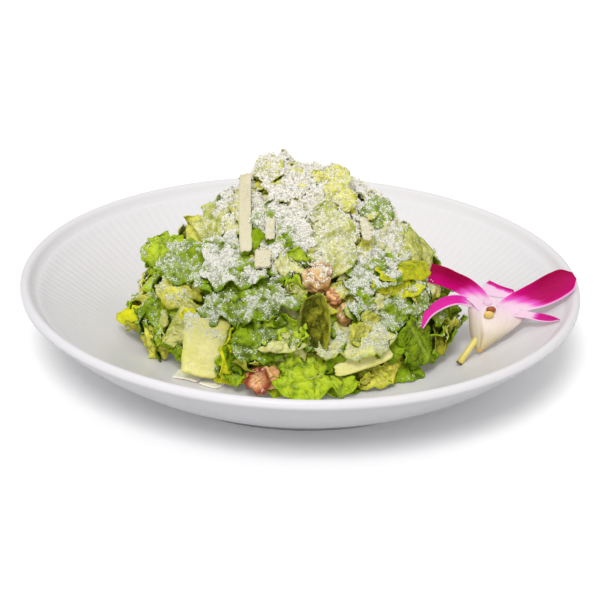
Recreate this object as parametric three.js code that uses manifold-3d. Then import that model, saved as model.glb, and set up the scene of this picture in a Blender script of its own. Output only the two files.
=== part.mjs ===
// A caesar salad heaped on a deep coupe plate: chopped romaine under grated parmesan,
// with walnuts, croutons, cheese shavings and a dendrobium flower laid on the plate's side.
// Millimetres, +Z up. The origin is on the plate's axis, in the plane of its foot;
// the front of the dish faces -Y. An azimuth of -90 degrees is the front, 0 is +X.

import * as THREE from 'three';
import { mergeVertices } from 'three/addons/utils/BufferGeometryUtils.js';
import Module from 'manifold-3d';

const wasm = await Module();
wasm.setup();

// ---------------------------------------------------------------- driving dimensions

const GAP = 0.35; // clearance between neighbouring pieces

const PLATE = {
  radius: 130, // to the outside of the rim
  height: 40, // foot to rim
  footRadius: 80,
  footInner: 75,
  footHeight: 2.2,
  floorHeight: 7, // eating surface at the centre
  floorRadius: 60, // end of the flat floor
  wallBulge: 2.9, // of the outer wall, past a straight line
  wallSteps: 3,
  lipWidth: 2.5, // flat top of the rim
  sides: 40,
};

// Inner surface of the plate, from the flat floor out to the rim: [radius, height].
const PLATE_INSIDE = [
  [PLATE.floorRadius, PLATE.floorHeight], [70, 7.8], [80, 10.2], [90, 15],
  [100, 21], [110, 27.5], [118, 32.5], [123, 36.5], [125, 38.5],
];

// The heap's bare form: radius at each height, before the two scales.
const MOUND = {
  x: -3, y: -3, scaleX: 1.02, scaleY: 0.8,
  profile: [
    [7, 62], [14, 70], [22, 75], [33, 72], [47, 65], [60, 57],
    [72, 47], [82, 37], [91, 26], [97, 15], [100, 0],
  ],
};

// The core that carries the leaves: the mound, drawn in by this much.
const CORE = { inset: 4.8, drop: 2.5, top: 93, rings: 7, sides: 16, bump: 1.8 };

const LEAF = {
  thickness: 1.2, rowLength: 8, columns: 2,
  power: 3, // how square the outline is: 2 is an ellipse
  blunt: 0.45, // width of the two ends, of the full width
  tear: 0.1, // raggedness of the torn edge
  wobble: 0.8, // unevenness of the face
};
const RIB = { ...LEAF, thickness: 3, power: 8, blunt: 0.7, tear: 0.03, wobble: 0.3 };


// Loose leaves round the back. Each leans out of the mound, with its low end rooted in the core.
const BACK = {
  count: 18, lowest: 14, highest: 86, firstAzimuth: -6, sweep: 192,
  root: 8, // how far the leaf's middle is drawn in, less what its lean gives back
  leanShare: 0.35,
  seed: 11,
};
const GOLDEN_TURN = 0.618034;

// Grated parmesan: shreds dropped on the heap.
const FLAKES = {
  count: 20, length: 7, width: 3, thickness: 1.1,
  sunk: 0.2, // share of a shred's thickness that is in the leaf
  steepest: 0.2, // upward part of the normal of the steepest face that holds a shred
  reach: 74, seed: 29,
};

// ---------------------------------------------------------------- small helpers

const radians = THREE.MathUtils.degToRad;
const vector = (x, y, z) => new THREE.Vector3(x, y, z);

// A small repeatable random source, so that every build gives the same heap.
function randomSource(seed) {
  let state = seed;
  return (low = 0, high = 1) => {
    state = (Math.imul(state, 1664525) + 1013904223) >>> 0;
    return low + ((high - low) * state) / 4294967296;
  };
}

// Straight-line reading of a table of [input, value] rows.
function interpolate(table, input) {
  if (input <= table[0][0]) return table[0][1];
  for (let i = 1; i < table.length; i += 1) {
    const [x0, y0] = table[i - 1];
    const [x1, y1] = table[i];
    if (input <= x1) return y0 + ((y1 - y0) * (input - x0)) / (x1 - x0);
  }
  return table[table.length - 1][1];
}

function toSolid(geometry) {
  const bare = geometry.clone();
  bare.deleteAttribute('normal');
  bare.deleteAttribute('uv');
  const merged = mergeVertices(bare, 1e-4);
  return new wasm.Manifold(new wasm.Mesh({
    numProp: 3,
    vertProperties: new Float32Array(merged.attributes.position.array),
    triVerts: new Uint32Array(merged.index.array),
  }));
}

function toGeometry(solid) {
  const mesh = solid.getMesh();
  const geometry = new THREE.BufferGeometry();
  geometry.setAttribute('position', new THREE.BufferAttribute(mesh.vertProperties, 3));
  geometry.setIndex(new THREE.BufferAttribute(mesh.triVerts, 1));
  geometry.computeVertexNormals();
  return geometry;
}

// The largest closed body of a solid. Scraps and sealed hollows are dropped with the rest.
function largestBody(solid) {
  const bodies = solid.decompose();
  return bodies.reduce((best, body) => (body.volume() > best.volume() ? body : best));
}

function indexedGeometry(points, triangles) {
  const geometry = new THREE.BufferGeometry();
  geometry.setAttribute('position', new THREE.Float32BufferAttribute(points, 3));
  geometry.setIndex(triangles);
  return geometry;
}

function lathe(profile, sides) {
  const points = profile.map(([radius, height]) => new THREE.Vector2(radius, height));
  return new THREE.LatheGeometry(points, sides).rotateX(Math.PI / 2);
}

// ---------------------------------------------------------------- plate

// The outer wall from the foot to the rim, swelling past a straight line.
function plateOutside() {
  const [startRadius, startHeight] = [PLATE.footRadius + 2, 3];
  const [endRadius, endHeight] = [PLATE.radius - 0.3, PLATE.height - 4];
  const run = endRadius - startRadius;
  const rise = endHeight - startHeight;
  const length = Math.hypot(run, rise);
  const wall = [];
  for (let step = 0; step <= PLATE.wallSteps; step += 1) {
    const part = step / PLATE.wallSteps;
    const bulge = PLATE.wallBulge * Math.sin(Math.PI * part);
    wall.push([
      startRadius + run * part + (bulge * rise) / length,
      startHeight + rise * part - (bulge * run) / length,
    ]);
  }
  return wall;
}

function plateGeometry() {
  const rim = [[PLATE.radius, PLATE.height - 2.2], [PLATE.radius - PLATE.lipWidth, PLATE.height]];
  return lathe([
    [0, PLATE.footHeight], [PLATE.footInner - 1, PLATE.footHeight],
    [PLATE.footInner, 0], [PLATE.footRadius, 0],
    ...plateOutside(), ...rim, ...PLATE_INSIDE.toReversed(), [0, PLATE.floorHeight],
  ], PLATE.sides);
}

// Everything above the plate's inner surface: what the food may fill.
function spaceOverPlate() {
  const [wide, ceiling] = [PLATE.radius + 20, PLATE.height + 120];
  const surface = [
    [0, PLATE.floorHeight], ...PLATE_INSIDE,
    [PLATE.radius - PLATE.lipWidth, PLATE.height], [wide, PLATE.height],
  ];
  const raised = surface.map(([radius, height]) => [radius, height + GAP]);
  return toSolid(lathe([...raised, [wide, ceiling], [0, ceiling]], PLATE.sides));
}

// ---------------------------------------------------------------- the mound and its frames

const moundRadius = (height) => interpolate(MOUND.profile, height);

// Elevation of the mound's outward normal at a height, in degrees.
function moundSlope(height) {
  const span = 3;
  const fall = moundRadius(height - span) - moundRadius(height + span);
  return THREE.MathUtils.radToDeg(Math.atan2(fall, 2 * span));
}

// Where a piece sits: azimuth on the mound, height, and how far out from its surface.
function at(azimuth, height, out) {
  const radius = moundRadius(height) + out;
  const angle = radians(azimuth);
  const centre = vector(
    MOUND.x + MOUND.scaleX * radius * Math.cos(angle),
    MOUND.y + MOUND.scaleY * radius * Math.sin(angle),
    height,
  );
  return { azimuth, centre };
}

// How a piece is held: its face turned from the azimuth, tilted up, and spun from upright.
const turned = (turn, tilt, spin) => ({ turn, tilt, spin });
const size = (length, width) => ({ length, width });

function frameOnMound(place, hold) {
  const angle = radians(place.azimuth + hold.turn);
  const tilt = radians(hold.tilt);
  const face = vector(
    Math.cos(angle) * Math.cos(tilt), Math.sin(angle) * Math.cos(tilt), Math.sin(tilt),
  );
  const upright = vector(0, 0, 1).addScaledVector(face, -face.z).normalize();
  const along = upright.clone().multiplyScalar(Math.cos(radians(hold.spin)))
    .addScaledVector(face.clone().cross(upright), Math.sin(radians(hold.spin)));
  return { centre: place.centre, along, face, across: along.clone().cross(face) };
}

// The frame of a piece that runs between two points, with its face towards a direction.
function frameBetween(from, to, towards) {
  const along = to.clone().sub(from).normalize();
  const face = towards.clone().addScaledVector(along, -along.dot(towards)).normalize();
  return {
    centre: from.clone().add(to).multiplyScalar(0.5), along, face, across: along.clone().cross(face),
  };
}

// ---------------------------------------------------------------- blades: leaves, ribs, petals

// A point of a wavy sheet: u runs 0 to 1 along it and v -1 to 1 across it. The sheet is an arc
// lengthwise (bend) and crosswise (cup), with a torn outline and ruffles that grow to its edge.
function bladePoint(frame, form, u, v) {
  const bend = radians(form.bend || 0.01);
  const cup = radians(form.cup || 0.01);
  const arcRadius = form.length / (2 * Math.sin(bend / 2));
  const angle = (u - 0.5) * bend;
  const side = v > 0 ? 1 : -1;
  const end = Math.abs(2 * u - 1) ** 3 * Math.sign(2 * u - 1);
  const along = arcRadius * Math.sin(angle)
    + 0.5 * form.length * form.tear * end * Math.sin(2.7 * v + form.seed);
  const lift = arcRadius * (Math.cos(angle) - Math.cos(bend / 2));

  const round = Math.sqrt(Math.max(0, 1 - Math.abs(2 * u - 1) ** form.power));
  const ragged = Math.sin(8.2 * u + form.seed + 2 * side)
    + 0.6 * Math.sin(18 * u + 2 * form.seed - side);
  const half = 0.5 * form.width * (form.blunt + (1 - form.blunt) * round)
    * (1 + form.skew * (2 * u - 1)) * (1 + form.tear * ragged * Math.abs(v));

  const wave = 2 * Math.PI * form.waves * u + 1.7 * form.seed + 1.1 * side;
  const spread = (half * Math.sin((v * cup) / 2)) / (cup / 2)
    + 0.35 * form.ruffle * v * Math.abs(v) * Math.cos(wave + 0.8);
  const rise = (half * (1 - Math.cos((v * cup) / 2))) / (cup / 2)
    + form.ruffle * v * v * Math.sin(wave)
    + form.wobble * Math.sin(4.3 * u + 2.1 * v + 2.3 * form.seed);

  const normal = frame.face.clone().multiplyScalar(Math.cos(angle))
    .addScaledVector(frame.along, Math.sin(angle));
  return frame.centre.clone()
    .addScaledVector(frame.along, along)
    .addScaledVector(frame.face, lift)
    .addScaledVector(frame.across, spread)
    .addScaledVector(normal, rise);
}

// A thin closed solid on that sheet, both faces split into triangles alike.
function bladeGeometry(frame, form, grow = 0) {
  const { rows, columns } = form;
  const shape = { ...form, length: form.length + 2 * grow, width: form.width + 2 * grow };
  const half = form.thickness / 2 + grow;
  const grid = [];
  for (let i = 0; i <= rows; i += 1) {
    grid.push([]);
    for (let j = 0; j <= columns; j += 1) {
      grid[i].push(bladePoint(frame, shape, i / rows, (2 * j) / columns - 1));
    }
  }
  const upper = [];
  const lower = [];
  for (let i = 0; i <= rows; i += 1) {
    for (let j = 0; j <= columns; j += 1) {
      const lengthwise = grid[Math.min(i + 1, rows)][j].clone().sub(grid[Math.max(i - 1, 0)][j]);
      const crosswise = grid[i][Math.min(j + 1, columns)].clone().sub(grid[i][Math.max(j - 1, 0)]);
      const normal = crosswise.cross(lengthwise).normalize();
      upper.push(...grid[i][j].clone().addScaledVector(normal, half).toArray());
      lower.push(...grid[i][j].clone().addScaledVector(normal, -half).toArray());
    }
  }
  const below = (rows + 1) * (columns + 1);
  const triangles = [];
  const quad = (a, b, c, d) => triangles.push(a, b, c, a, c, d);
  const index = (i, j) => i * (columns + 1) + j;
  const wall = (a, b) => triangles.push(a, a + below, b + below, a, b + below, b);
  for (let i = 0; i < rows; i += 1) {
    for (let j = 0; j < columns; j += 1) {
      const [a, b, c, d] = [index(i, j), index(i, j + 1), index(i + 1, j + 1), index(i + 1, j)];
      quad(a, b, c, d);
      triangles.push(a + below, c + below, b + below, a + below, d + below, c + below);
    }
    wall(index(i + 1, 0), index(i, 0));
    wall(index(i, columns), index(i + 1, columns));
  }
  for (let j = 0; j < columns; j += 1) {
    wall(index(0, j), index(0, j + 1));
    wall(index(rows, j + 1), index(rows, j));
  }
  return indexedGeometry([...upper, ...lower], triangles);
}

// ---------------------------------------------------------------- the heap's leaves

const FLAT = { bend: 0, cup: 0, ruffle: 0, waves: 1.5, skew: 0 };

const piece = (base, name, place, hold, extent, form) => ({
  name, place, hold,
  form: {
    ...FLAT, ...base, rows: Math.max(3, Math.round(extent.length / base.rowLength)), ...extent, ...form,
  },
});
const leaf = (name, place, hold, extent, form = {}) => piece(LEAF, name, place, hold, extent, form);
const rib = (name, place, hold, extent, form = {}) => piece(RIB, name, place, hold, extent, form);

// The pieces of romaine that make up the front, the sides and the top, from left to right.
const LEAVES = [
  leaf('far_lime', at(-163, 27, -1), turned(10, 40, 120), size(32, 11), { cup: -110, bend: 25 }),
  leaf('far_olive', at(-157, 21, -2), turned(20, 5, 85), size(22, 8), { cup: -40 }),
  leaf('left_lobe', at(-152, 17, -2), turned(50, -5, -155), size(17, 11), { cup: -30, bend: 35 }),
  leaf('left_green', at(-145, 31, -5), turned(30, 25, 45), size(24, 17), { ruffle: 1.6 }),
  leaf('left_cream', at(-142, 45, -1), turned(35, 40, 65), size(21, 15), { cup: -30, bend: 25 }),
  rib('lean_strip', at(-135, 33, -3), turned(30, 5, 155), size(25, 9), { thickness: 2, cup: -25 }),
  rib('front_rib', at(-122, 27, -2), turned(27, 0, -8),
    size(29, 19), { thickness: 4, cup: -28, bend: 10, skew: 0.08, columns: 3 }),
  leaf('rib_leaf', at(-112, 26, -2), turned(50, 5, -15), size(24, 9), { bend: 20, ruffle: 1.2 }),
  leaf('rib_tuft', at(-128, 38, 2), turned(35, 20, 30), size(11, 8), { bend: 40 }),
  leaf('low_lime', at(-112, 13, -5), turned(20, 50, 95), size(20, 10), { bend: -15 }),
  leaf('big_dark', at(-109, 53, 1), turned(5, 45, 105),
    size(40, 27), { cup: -55, bend: -12, ruffle: 2.6, waves: 2.2, rows: 6, columns: 3 }),
  leaf('upper_blue', at(-119, 65, 1), turned(15, 50, 90),
    size(32, 25), { cup: -30, ruffle: 1.8, waves: 1.8 }),
  leaf('mid_curl', at(-101, 34, -2), turned(10, 25, 105),
    size(28, 20), { ruffle: 2.8, waves: 2.4, rows: 6 }),
  leaf('cream_curl', at(-94, 35, 1), turned(0, 45, -75), size(17, 10), { cup: 60, ruffle: 1.2 }),
  leaf('fold_dark', at(-109, 26, -6), turned(25, 15, -175), size(19, 14), { cup: 90 }),
  leaf('low_band', at(-102, 19, -4), turned(5, 50, -85),
    size(32, 13), { ruffle: 2, waves: 2.2, rows: 5 }),
  leaf('front_curly', at(-82, 19, -1), turned(0, 35, 90),
    size(33, 22), { ruffle: 3.2, waves: 3, rows: 7 }),
  leaf('front_low', at(-86, 11, 0), turned(5, 55, 85),
    size(34, 14), { ruffle: 2.2, waves: 2.6, rows: 6 }),
  leaf('olive_cup', at(-82, 40, -3), turned(0, 5, 5), size(27, 14), { cup: 110 }),
  leaf('small_cup', at(-91, 36, -4), turned(-5, 5, 5), size(21, 15), { cup: 75 }),
  leaf('green_edge', at(-92, 54, -2), turned(-10, 15, 10), size(30, 18), { cup: -45, ruffle: 1.8 }),
  leaf('right_snow', at(-47, 47, -2), turned(-5, 35, -115),
    size(43, 28), { cup: -30, ruffle: 1.8, waves: 1.8, rows: 5, columns: 3 }),
  leaf('right_snow_top', at(-53, 60, 0), turned(-20, 45, -85), size(26, 18), { ruffle: 1.6 }),
  leaf('lime_pair_top', at(-29, 54, 0), turned(-5, 50, -105),
    size(34, 12), { cup: -80, ruffle: 0.8 }),
  leaf('lime_pair_low', at(-37, 50, -1), turned(-10, 40, -108),
    size(31, 12), { cup: -40, ruffle: 1 }),
  leaf('right_back_green', at(-16, 34, -2), turned(-15, 35, -110), size(30, 18), { ruffle: 2 }),
  leaf('rib_edge_left', at(-42, 24, -3), turned(-10, 5, -160), size(25, 15), { cup: 30 }),
  leaf('rib_edge_right', at(-32, 25, -2), turned(5, 15, -165), size(25, 11), { cup: -30 }),
  leaf('olive_right', at(-22, 22, -3), turned(-35, 15, 170), size(19, 10), { cup: 60 }),
  leaf('olive_end', at(-14, 24, -5), turned(-25, 30, 160), size(12, 9), { cup: 40 }),
  rib('low_slab', at(-65, 23, -2), turned(-5, 30, -90), size(27, 12), { cup: -40 }),
  leaf('cream_piece', at(-67, 34, -1), turned(-10, 50, -85),
    size(32, 19), { ruffle: 1.8, waves: 2.2 }),
  leaf('low_yellow', at(-57, 15, -2), turned(-15, 10, 105), size(21, 13), { cup: 60 }),
  leaf('low_green', at(-62, 11, -2), turned(-5, 45, 90), size(24, 14), { ruffle: 2 }),
  leaf('right_low_green', at(-45, 14, -2), turned(-15, 35, -100),
    size(22, 15), { ruffle: 2.2, waves: 2 }),
  leaf('top_yellow', at(-40, 91, -3), turned(-50, 45, 20), size(22, 23), { cup: -60, bend: 35 }),
  leaf('peak', at(-160, 93, -8), turned(50, 65, 35), size(25, 20), { cup: -40, bend: 30, ruffle: 1.5 }),
  leaf('peak_mid', at(-85, 88, -6), turned(-10, 50, 10),
    size(24, 20), { cup: -30, bend: 30, ruffle: 1.5 }),
  leaf('tall_pale', at(-70, 73, -1), turned(-15, 35, 0),
    size(31, 23), { cup: -32, bend: 12, ruffle: 1.4 }),
  leaf('centre_snow', at(-97, 76, -1), turned(5, 35, 5),
    size(31, 26), { cup: -30, bend: 12, ruffle: 2, columns: 3 }),
  leaf('top_dark', at(-14, 82, -2), turned(-35, 40, -85), size(22, 14), { ruffle: 1.4 }),
  leaf('right_pale', at(-22, 69, -3), turned(-20, 42, -20),
    size(32, 22), { cup: -30, bend: 12, ruffle: 1.6 }),
  leaf('right_lobe_in', at(-14, 60, -1), turned(-40, 40, -10), size(21, 14), { cup: -50, bend: 15 }),
  leaf('right_lobe_out', at(-4, 57, -4), turned(-35, 40, -15), size(22, 14), { cup: -60, bend: 20 }),
  leaf('frill_top', at(-171, 53, -2), turned(25, 35, 85),
    size(34, 20), { ruffle: 2.8, waves: 2.4, rows: 6 }),
  leaf('frill_low', at(-166, 44, -3), turned(20, 20, 90),
    size(34, 18), { ruffle: 2.4, waves: 2.2, rows: 5 }),
  leaf('left_blue', at(-149, 60, -1), turned(15, 50, 95),
    size(34, 24), { cup: -25, ruffle: 1.8, waves: 1.8 }),
  leaf('upper_left', at(-150, 73, -6), turned(15, 40, 85), size(28, 20), { cup: -35, ruffle: 1.4 }),
  leaf('behind_shaving', at(-145, 84, -5), turned(20, 50, 60), size(24, 18), { cup: -25, ruffle: 1.4 }),
  leaf('green_fold', at(-107, 74, 3), turned(10, 10, -10), size(12, 9), { cup: -100 }),
].map((row, index) => ({ ...row, form: { ...row.form, seed: index + 1 } }));

// Leaves placed by rule all round the back, where they peel away from the mound.
function backLeaves() {
  const random = randomSource(BACK.seed);
  const leaves = [];
  for (let k = 0; k < BACK.count; k += 1) {
    const part = (k + 0.5) / BACK.count;
    const height = BACK.lowest + (BACK.highest - BACK.lowest) * part;
    const azimuth = BACK.firstAzimuth + BACK.sweep * ((k * GOLDEN_TURN) % 1);
    const shrink = 1 - 0.25 * part;
    const extent = size(random(31, 42) * shrink, random(21, 29) * shrink);
    const lean = random(12, 36);
    const out = BACK.leanShare * extent.length * Math.sin(radians(lean)) - BACK.root;
    const hold = turned(random(-25, 25), moundSlope(height) - lean, random(-45, 45));
    const form = {
      cup: random(-50, 35), bend: random(-10, 30), ruffle: random(0.8, 2.4),
      waves: random(1.4, 2.4), rows: 3, seed: 60 + k,
    };
    leaves.push(leaf(`back_${k}`, at(azimuth, height, out), hold, extent, form));
  }
  return leaves;
}

// The bare core: the mound drawn in, with bumps of a leaf's size, closed below at the plate.
function coreGeometry() {
  const profile = [[0, 0]];
  for (let ring = 0; ring < CORE.rings; ring += 1) {
    const height = CORE.top * (ring / CORE.rings) ** 0.8;
    profile.push([Math.max(3, moundRadius(height + CORE.drop) - CORE.inset), height]);
  }
  profile.push([0, CORE.top]);
  const geometry = lathe(profile, CORE.sides);
  const position = geometry.attributes.position;
  for (let i = 0; i < position.count; i += 1) {
    const [x, y, z] = [position.getX(i), position.getY(i), position.getZ(i)];
    const radius = Math.hypot(x, y);
    const angle = Math.atan2(y, x);
    const bumps = Math.sin(5 * angle + z / 9) + Math.sin(3 * angle - z / 6);
    const scale = radius > 1 ? 1 + (CORE.bump * bumps) / radius : 1;
    position.setXYZ(
      i, MOUND.x + x * scale * MOUND.scaleX, MOUND.y + y * scale * MOUND.scaleY, z,
    );
  }
  return geometry;
}

// Shreds of grated parmesan, dropped straight down on the heap and lying as its leaves do.
function cheeseFlakes(heap) {
  const random = randomSource(FLAKES.seed);
  const target = new THREE.Mesh(toGeometry(heap), new THREE.MeshBasicMaterial());
  const caster = new THREE.Raycaster();
  const flakes = [];
  const form = {
    ...FLAT, ...LEAF, power: 6, tear: 0.05, wobble: 0, rows: 1, columns: 1,
    length: FLAKES.length, width: FLAKES.width, thickness: FLAKES.thickness, seed: 1,
  };
  while (flakes.length < FLAKES.count) {
    const radius = FLAKES.reach * Math.sqrt(random());
    const angle = random(0, 2 * Math.PI);
    const spin = random(0, 2 * Math.PI);
    const from = vector(
      MOUND.x + MOUND.scaleX * radius * Math.cos(angle),
      MOUND.y + MOUND.scaleY * radius * Math.sin(angle),
      2 * CORE.top,
    );
    caster.set(from, vector(0, 0, -1));
    const [hit] = caster.intersectObject(target);
    if (!hit || hit.face.normal.z < FLAKES.steepest) continue;
    const along = vector(Math.cos(spin), Math.sin(spin), random(-0.4, 0.4));
    const face = hit.face.normal;
    const flat = frameBetween(hit.point, hit.point.clone().add(along), face);
    flat.centre = hit.point.clone().addScaledVector(face, (0.5 - FLAKES.sunk) * FLAKES.thickness);
    flakes.push(toSolid(bladeGeometry(flat, form)));
  }
  return flakes;
}

function heapSolid(toppings) {
  const pieces = [...LEAVES, ...backLeaves()]
    .map(({ place, hold, form }) => toSolid(bladeGeometry(frameOnMound(place, hold), form)));
  const leafy = wasm.Manifold.union([toSolid(coreGeometry()), ...pieces]);
  const snowed = wasm.Manifold.union([leafy, ...cheeseFlakes(leafy)]);
  const onPlate = snowed.intersect(spaceOverPlate());
  return largestBody(toppings.reduce((heap, topping) => heap.subtract(topping), onPlate));
}

// ---------------------------------------------------------------- nuts and croutons

// A craggy lump: a sphere pushed in and out, drawn to its three radii.
function lumpGeometry({ centre, radii, crag, seed }, grow = 0) {
  const geometry = new THREE.SphereGeometry(1, 9, 6);
  const position = geometry.attributes.position;
  for (let i = 0; i < position.count; i += 1) {
    const direction = vector().fromBufferAttribute(position, i).normalize();
    const { x, y, z } = direction;
    const bumps = Math.sin(3.1 * x + 2.3 * y + seed) + Math.sin(4.2 * z - 2.7 * y + 2 * seed)
      + 0.6 * Math.sin(6.3 * x - 5.1 * z + 3 * seed);
    const swell = 1 + crag * bumps;
    position.setXYZ(
      i,
      centre[0] + direction.x * (radii[0] * swell + grow),
      centre[1] + direction.y * (radii[1] * swell + grow),
      centre[2] + direction.z * (radii[2] * swell + grow),
    );
  }
  return geometry;
}

const LUMPS = [
  { name: 'walnut_front', centre: [-16, -62, 16.8], radii: [7.6, 6, 6.2], crag: 0.13, seed: 4 },
  { name: 'walnut_centre', centre: [14.8, -48, 50.8], radii: [4.1, 4, 4], crag: 0.13, seed: 9 },
  { name: 'walnut_back', centre: [-24, 41, 53], radii: [7.2, 6, 6], crag: 0.13, seed: 2 },
  { name: 'crouton_centre', centre: [7, -46.6, 60.2], radii: [6.2, 5.4, 6.8], crag: 0.09, seed: 6 },
  { name: 'crouton_small', centre: [20, -50, 43.6], radii: [3.5, 3.4, 5], crag: 0.09, seed: 7 },
  { name: 'crouton_back', centre: [30, 42, 47], radii: [7, 6.2, 6.6], crag: 0.09, seed: 3 },
];

// ---------------------------------------------------------------- parmesan shavings

const SHAVING = {
  ...FLAT, ...LEAF, rows: 2, columns: 2, thickness: 1, power: 10, blunt: 0.8, tear: 0.03, wobble: 0.25,
};

function shaving(name, from, to, towards, width, form = {}) {
  const [start, finish] = [vector(...from), vector(...to)];
  const length = start.distanceTo(finish);
  return {
    name, frame: frameBetween(start, finish, vector(...towards)),
    form: { ...SHAVING, length, width, seed: name.length, ...form },
  };
}

const SHAVINGS = [
  shaving('shaving_long', [-24.4, -41.5, 73.6], [-26, -12, 94.8], [-0.2, -0.6, 0.8], 5.8,
    { bend: 14, cup: -14, rows: 6, columns: 1 }),
  shaving('shaving_middle', [-14, -41, 75.5], [-14.5, -32.5, 83.5], [0, -0.7, 0.7], 5, { bend: 12 }),
  shaving('shaving_right', [29.2, -33, 72.6], [27.2, -23.5, 79.6], [0.4, -0.6, 0.7], 4.4, { bend: 16 }),
  shaving('shaving_block', [-17, -47.5, 64], [-17, -41, 69.5], [-0.1, -0.6, 0.8], 7.4,
    { thickness: 2.2, rows: 1, columns: 1 }),
  shaving('shaving_back', [-2, 43, 60], [6, 25, 80], [0, 0.75, 0.66], 6, { bend: 18, rows: 4 }),
  shaving('shaving_plate_left', [-57.5, -43, 10.2], [-45.5, -47, 9.3], [0.12, 0.12, 1], 9),
  shaving('shaving_plate_right', [-43, -49, 9.3], [-34, -53.5, 9.3], [0.06, 0.12, 1], 7.5),
];

// ---------------------------------------------------------------- dendrobium flower

const PETAL = {
  ...FLAT, thickness: 1.3, rows: 5, columns: 2, power: 2, blunt: 0.3, tear: 0.02, wobble: 0.3, seed: 3,
};
const FLOWER = {
  spur: vector(83.6, -25, 16), // the blunt tip under the lip, resting near the plate
  throat: vector(90.5, -9.5, 29), // middle of the mouth that the petals spring from
  stalkEnd: vector(73.8, -30.3, 12.2),
  stalkMiddle: vector(77.5, -27, 15.5),
  stalkTop: vector(82, -22, 21),
  stalkRadius: 1.35,
  throatRadius: 9.5,
  lip: { centre: [89, -14, 29.6], radii: [3, 2.4, 3], crag: 0.05, seed: 1 },
};

function petal(grow, from, to, towards, width, form = {}) {
  const [start, finish] = [vector(...from), vector(...to)];
  const frame = frameBetween(start, finish, vector(...towards));
  const shape = { ...PETAL, length: start.distanceTo(finish), width, ...form };
  return toSolid(bladeGeometry(frame, shape, grow));
}

// The cup that the two lower sepals make round the spur, open above.
function flowerCup(grow) {
  const { spur, throat } = FLOWER;
  const throatRadius = FLOWER.throatRadius + grow;
  const axis = throat.clone().sub(spur);
  const length = axis.length() + grow;
  const cup = lathe([
    [0, 0], [1.8, 0.8], [0.42 * throatRadius, 0.25 * length], [0.72 * throatRadius, 0.55 * length],
    [throatRadius, length], [0.82 * throatRadius, length], [0, 0.86 * length],
  ], 12);
  cup.scale(1.1, 0.8, 1);
  axis.normalize();
  cup.applyQuaternion(new THREE.Quaternion().setFromUnitVectors(vector(0, 0, 1), axis));
  const foot = spur.clone().addScaledVector(axis, -grow);
  return toSolid(cup.translate(foot.x, foot.y, foot.z));
}

function flowerStalk(grow) {
  const path = new THREE.QuadraticBezierCurve3(FLOWER.stalkEnd, FLOWER.stalkMiddle, FLOWER.stalkTop);
  const section = new THREE.Shape().absarc(0, 0, FLOWER.stalkRadius + grow, 0, 2 * Math.PI);
  return toSolid(new THREE.ExtrudeGeometry(section, { steps: 4, curveSegments: 4, extrudePath: path }));
}

function flowerSolid(grow = 0) {
  const lateral = { cup: 40, blunt: 0.2 };
  const flower = wasm.Manifold.union([
    flowerCup(grow), flowerStalk(grow), toSolid(lumpGeometry(FLOWER.lip, grow)),
    petal(grow, [93, -11.5, 28], [127, -3, 44.8], [-0.25, -0.6, 0.75], 17,
      { skew: 0.55, power: 2.4, cup: 40, bend: -28 }),
    petal(grow, [84, -8.5, 33.5], [60.5, 0, 44], [0.3, -0.6, 0.75], 13.5,
      { skew: 0.25, blunt: 0.5, cup: 20, bend: -14 }),
    petal(grow, [90.5, -11, 28], [96, 6, 32], [0, -0.5, 0.86], 15, { cup: 30, rows: 3, blunt: 0.6 }),
    petal(grow, [84, -14.5, 28.5], [54.5, -42, 33.5], [-0.1, -0.2, 1], 6.5, { ...lateral, bend: 122 }),
    petal(grow, [94, -17.5, 26.5], [116.5, -29, 36.4], [-0.2, -0.2, 1], 8,
      { ...lateral, bend: -14, skew: -0.3 }),
  ]);
  return largestBody(flower.intersect(spaceOverPlate()));
}

// ---------------------------------------------------------------- the salad

const FINISHES = {
  plate: { color: 0xf4f3f1, roughness: 0.22 },
  salad_heap: { color: 0x8fae4a, roughness: 0.55 },
  walnut: { color: 0x9a4a1e, roughness: 0.4 },
  crouton: { color: 0xd9ac78, roughness: 0.8 },
  shaving: { color: 0xefe6cc, roughness: 0.6 },
  orchid: { color: 0xc4128c, roughness: 0.5 },
};

function node(name, geometry) {
  const finish = FINISHES[name] ?? FINISHES[name.split('_')[0]];
  const mesh = new THREE.Mesh(geometry, new THREE.MeshStandardMaterial({ metalness: 0, ...finish }));
  mesh.name = name;
  return mesh;
}

const salad = new THREE.Group();
salad.add(node('plate', plateGeometry()));

const toppingsGrown = [
  ...LUMPS.map((lump) => toSolid(lumpGeometry(lump, GAP))),
  ...SHAVINGS.map(({ frame, form }) => toSolid(bladeGeometry(frame, form, GAP))),
  flowerSolid(GAP),
];
salad.add(node('salad_heap', toGeometry(heapSolid(toppingsGrown))));
for (const lump of LUMPS) salad.add(node(lump.name, lumpGeometry(lump)));
for (const { name, frame, form } of SHAVINGS) salad.add(node(name, bladeGeometry(frame, form)));
salad.add(node('orchid_flower', toGeometry(flowerSolid())));

export default salad;
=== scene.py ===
"""A caesar salad on a deep coupe plate, dressed for a close look.

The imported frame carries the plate, the heap, the nuts, croutons, shavings and the flower.
Each class below builds one of them again in fine mesh, in the same place, and dresses it.
Lengths in the tables are millimetres, as on a drawing; meshes are in metres. +Z is up,
the front of the dish faces -Y, and an azimuth of -90 degrees is the front, 0 is +X.
"""

from __future__ import annotations

import logging
import math
from dataclasses import dataclass, field, replace
from enum import Enum

import bmesh
import bpy
import numpy as np
from mathutils import Matrix, Vector
from mathutils.bvhtree import BVHTree

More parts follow.
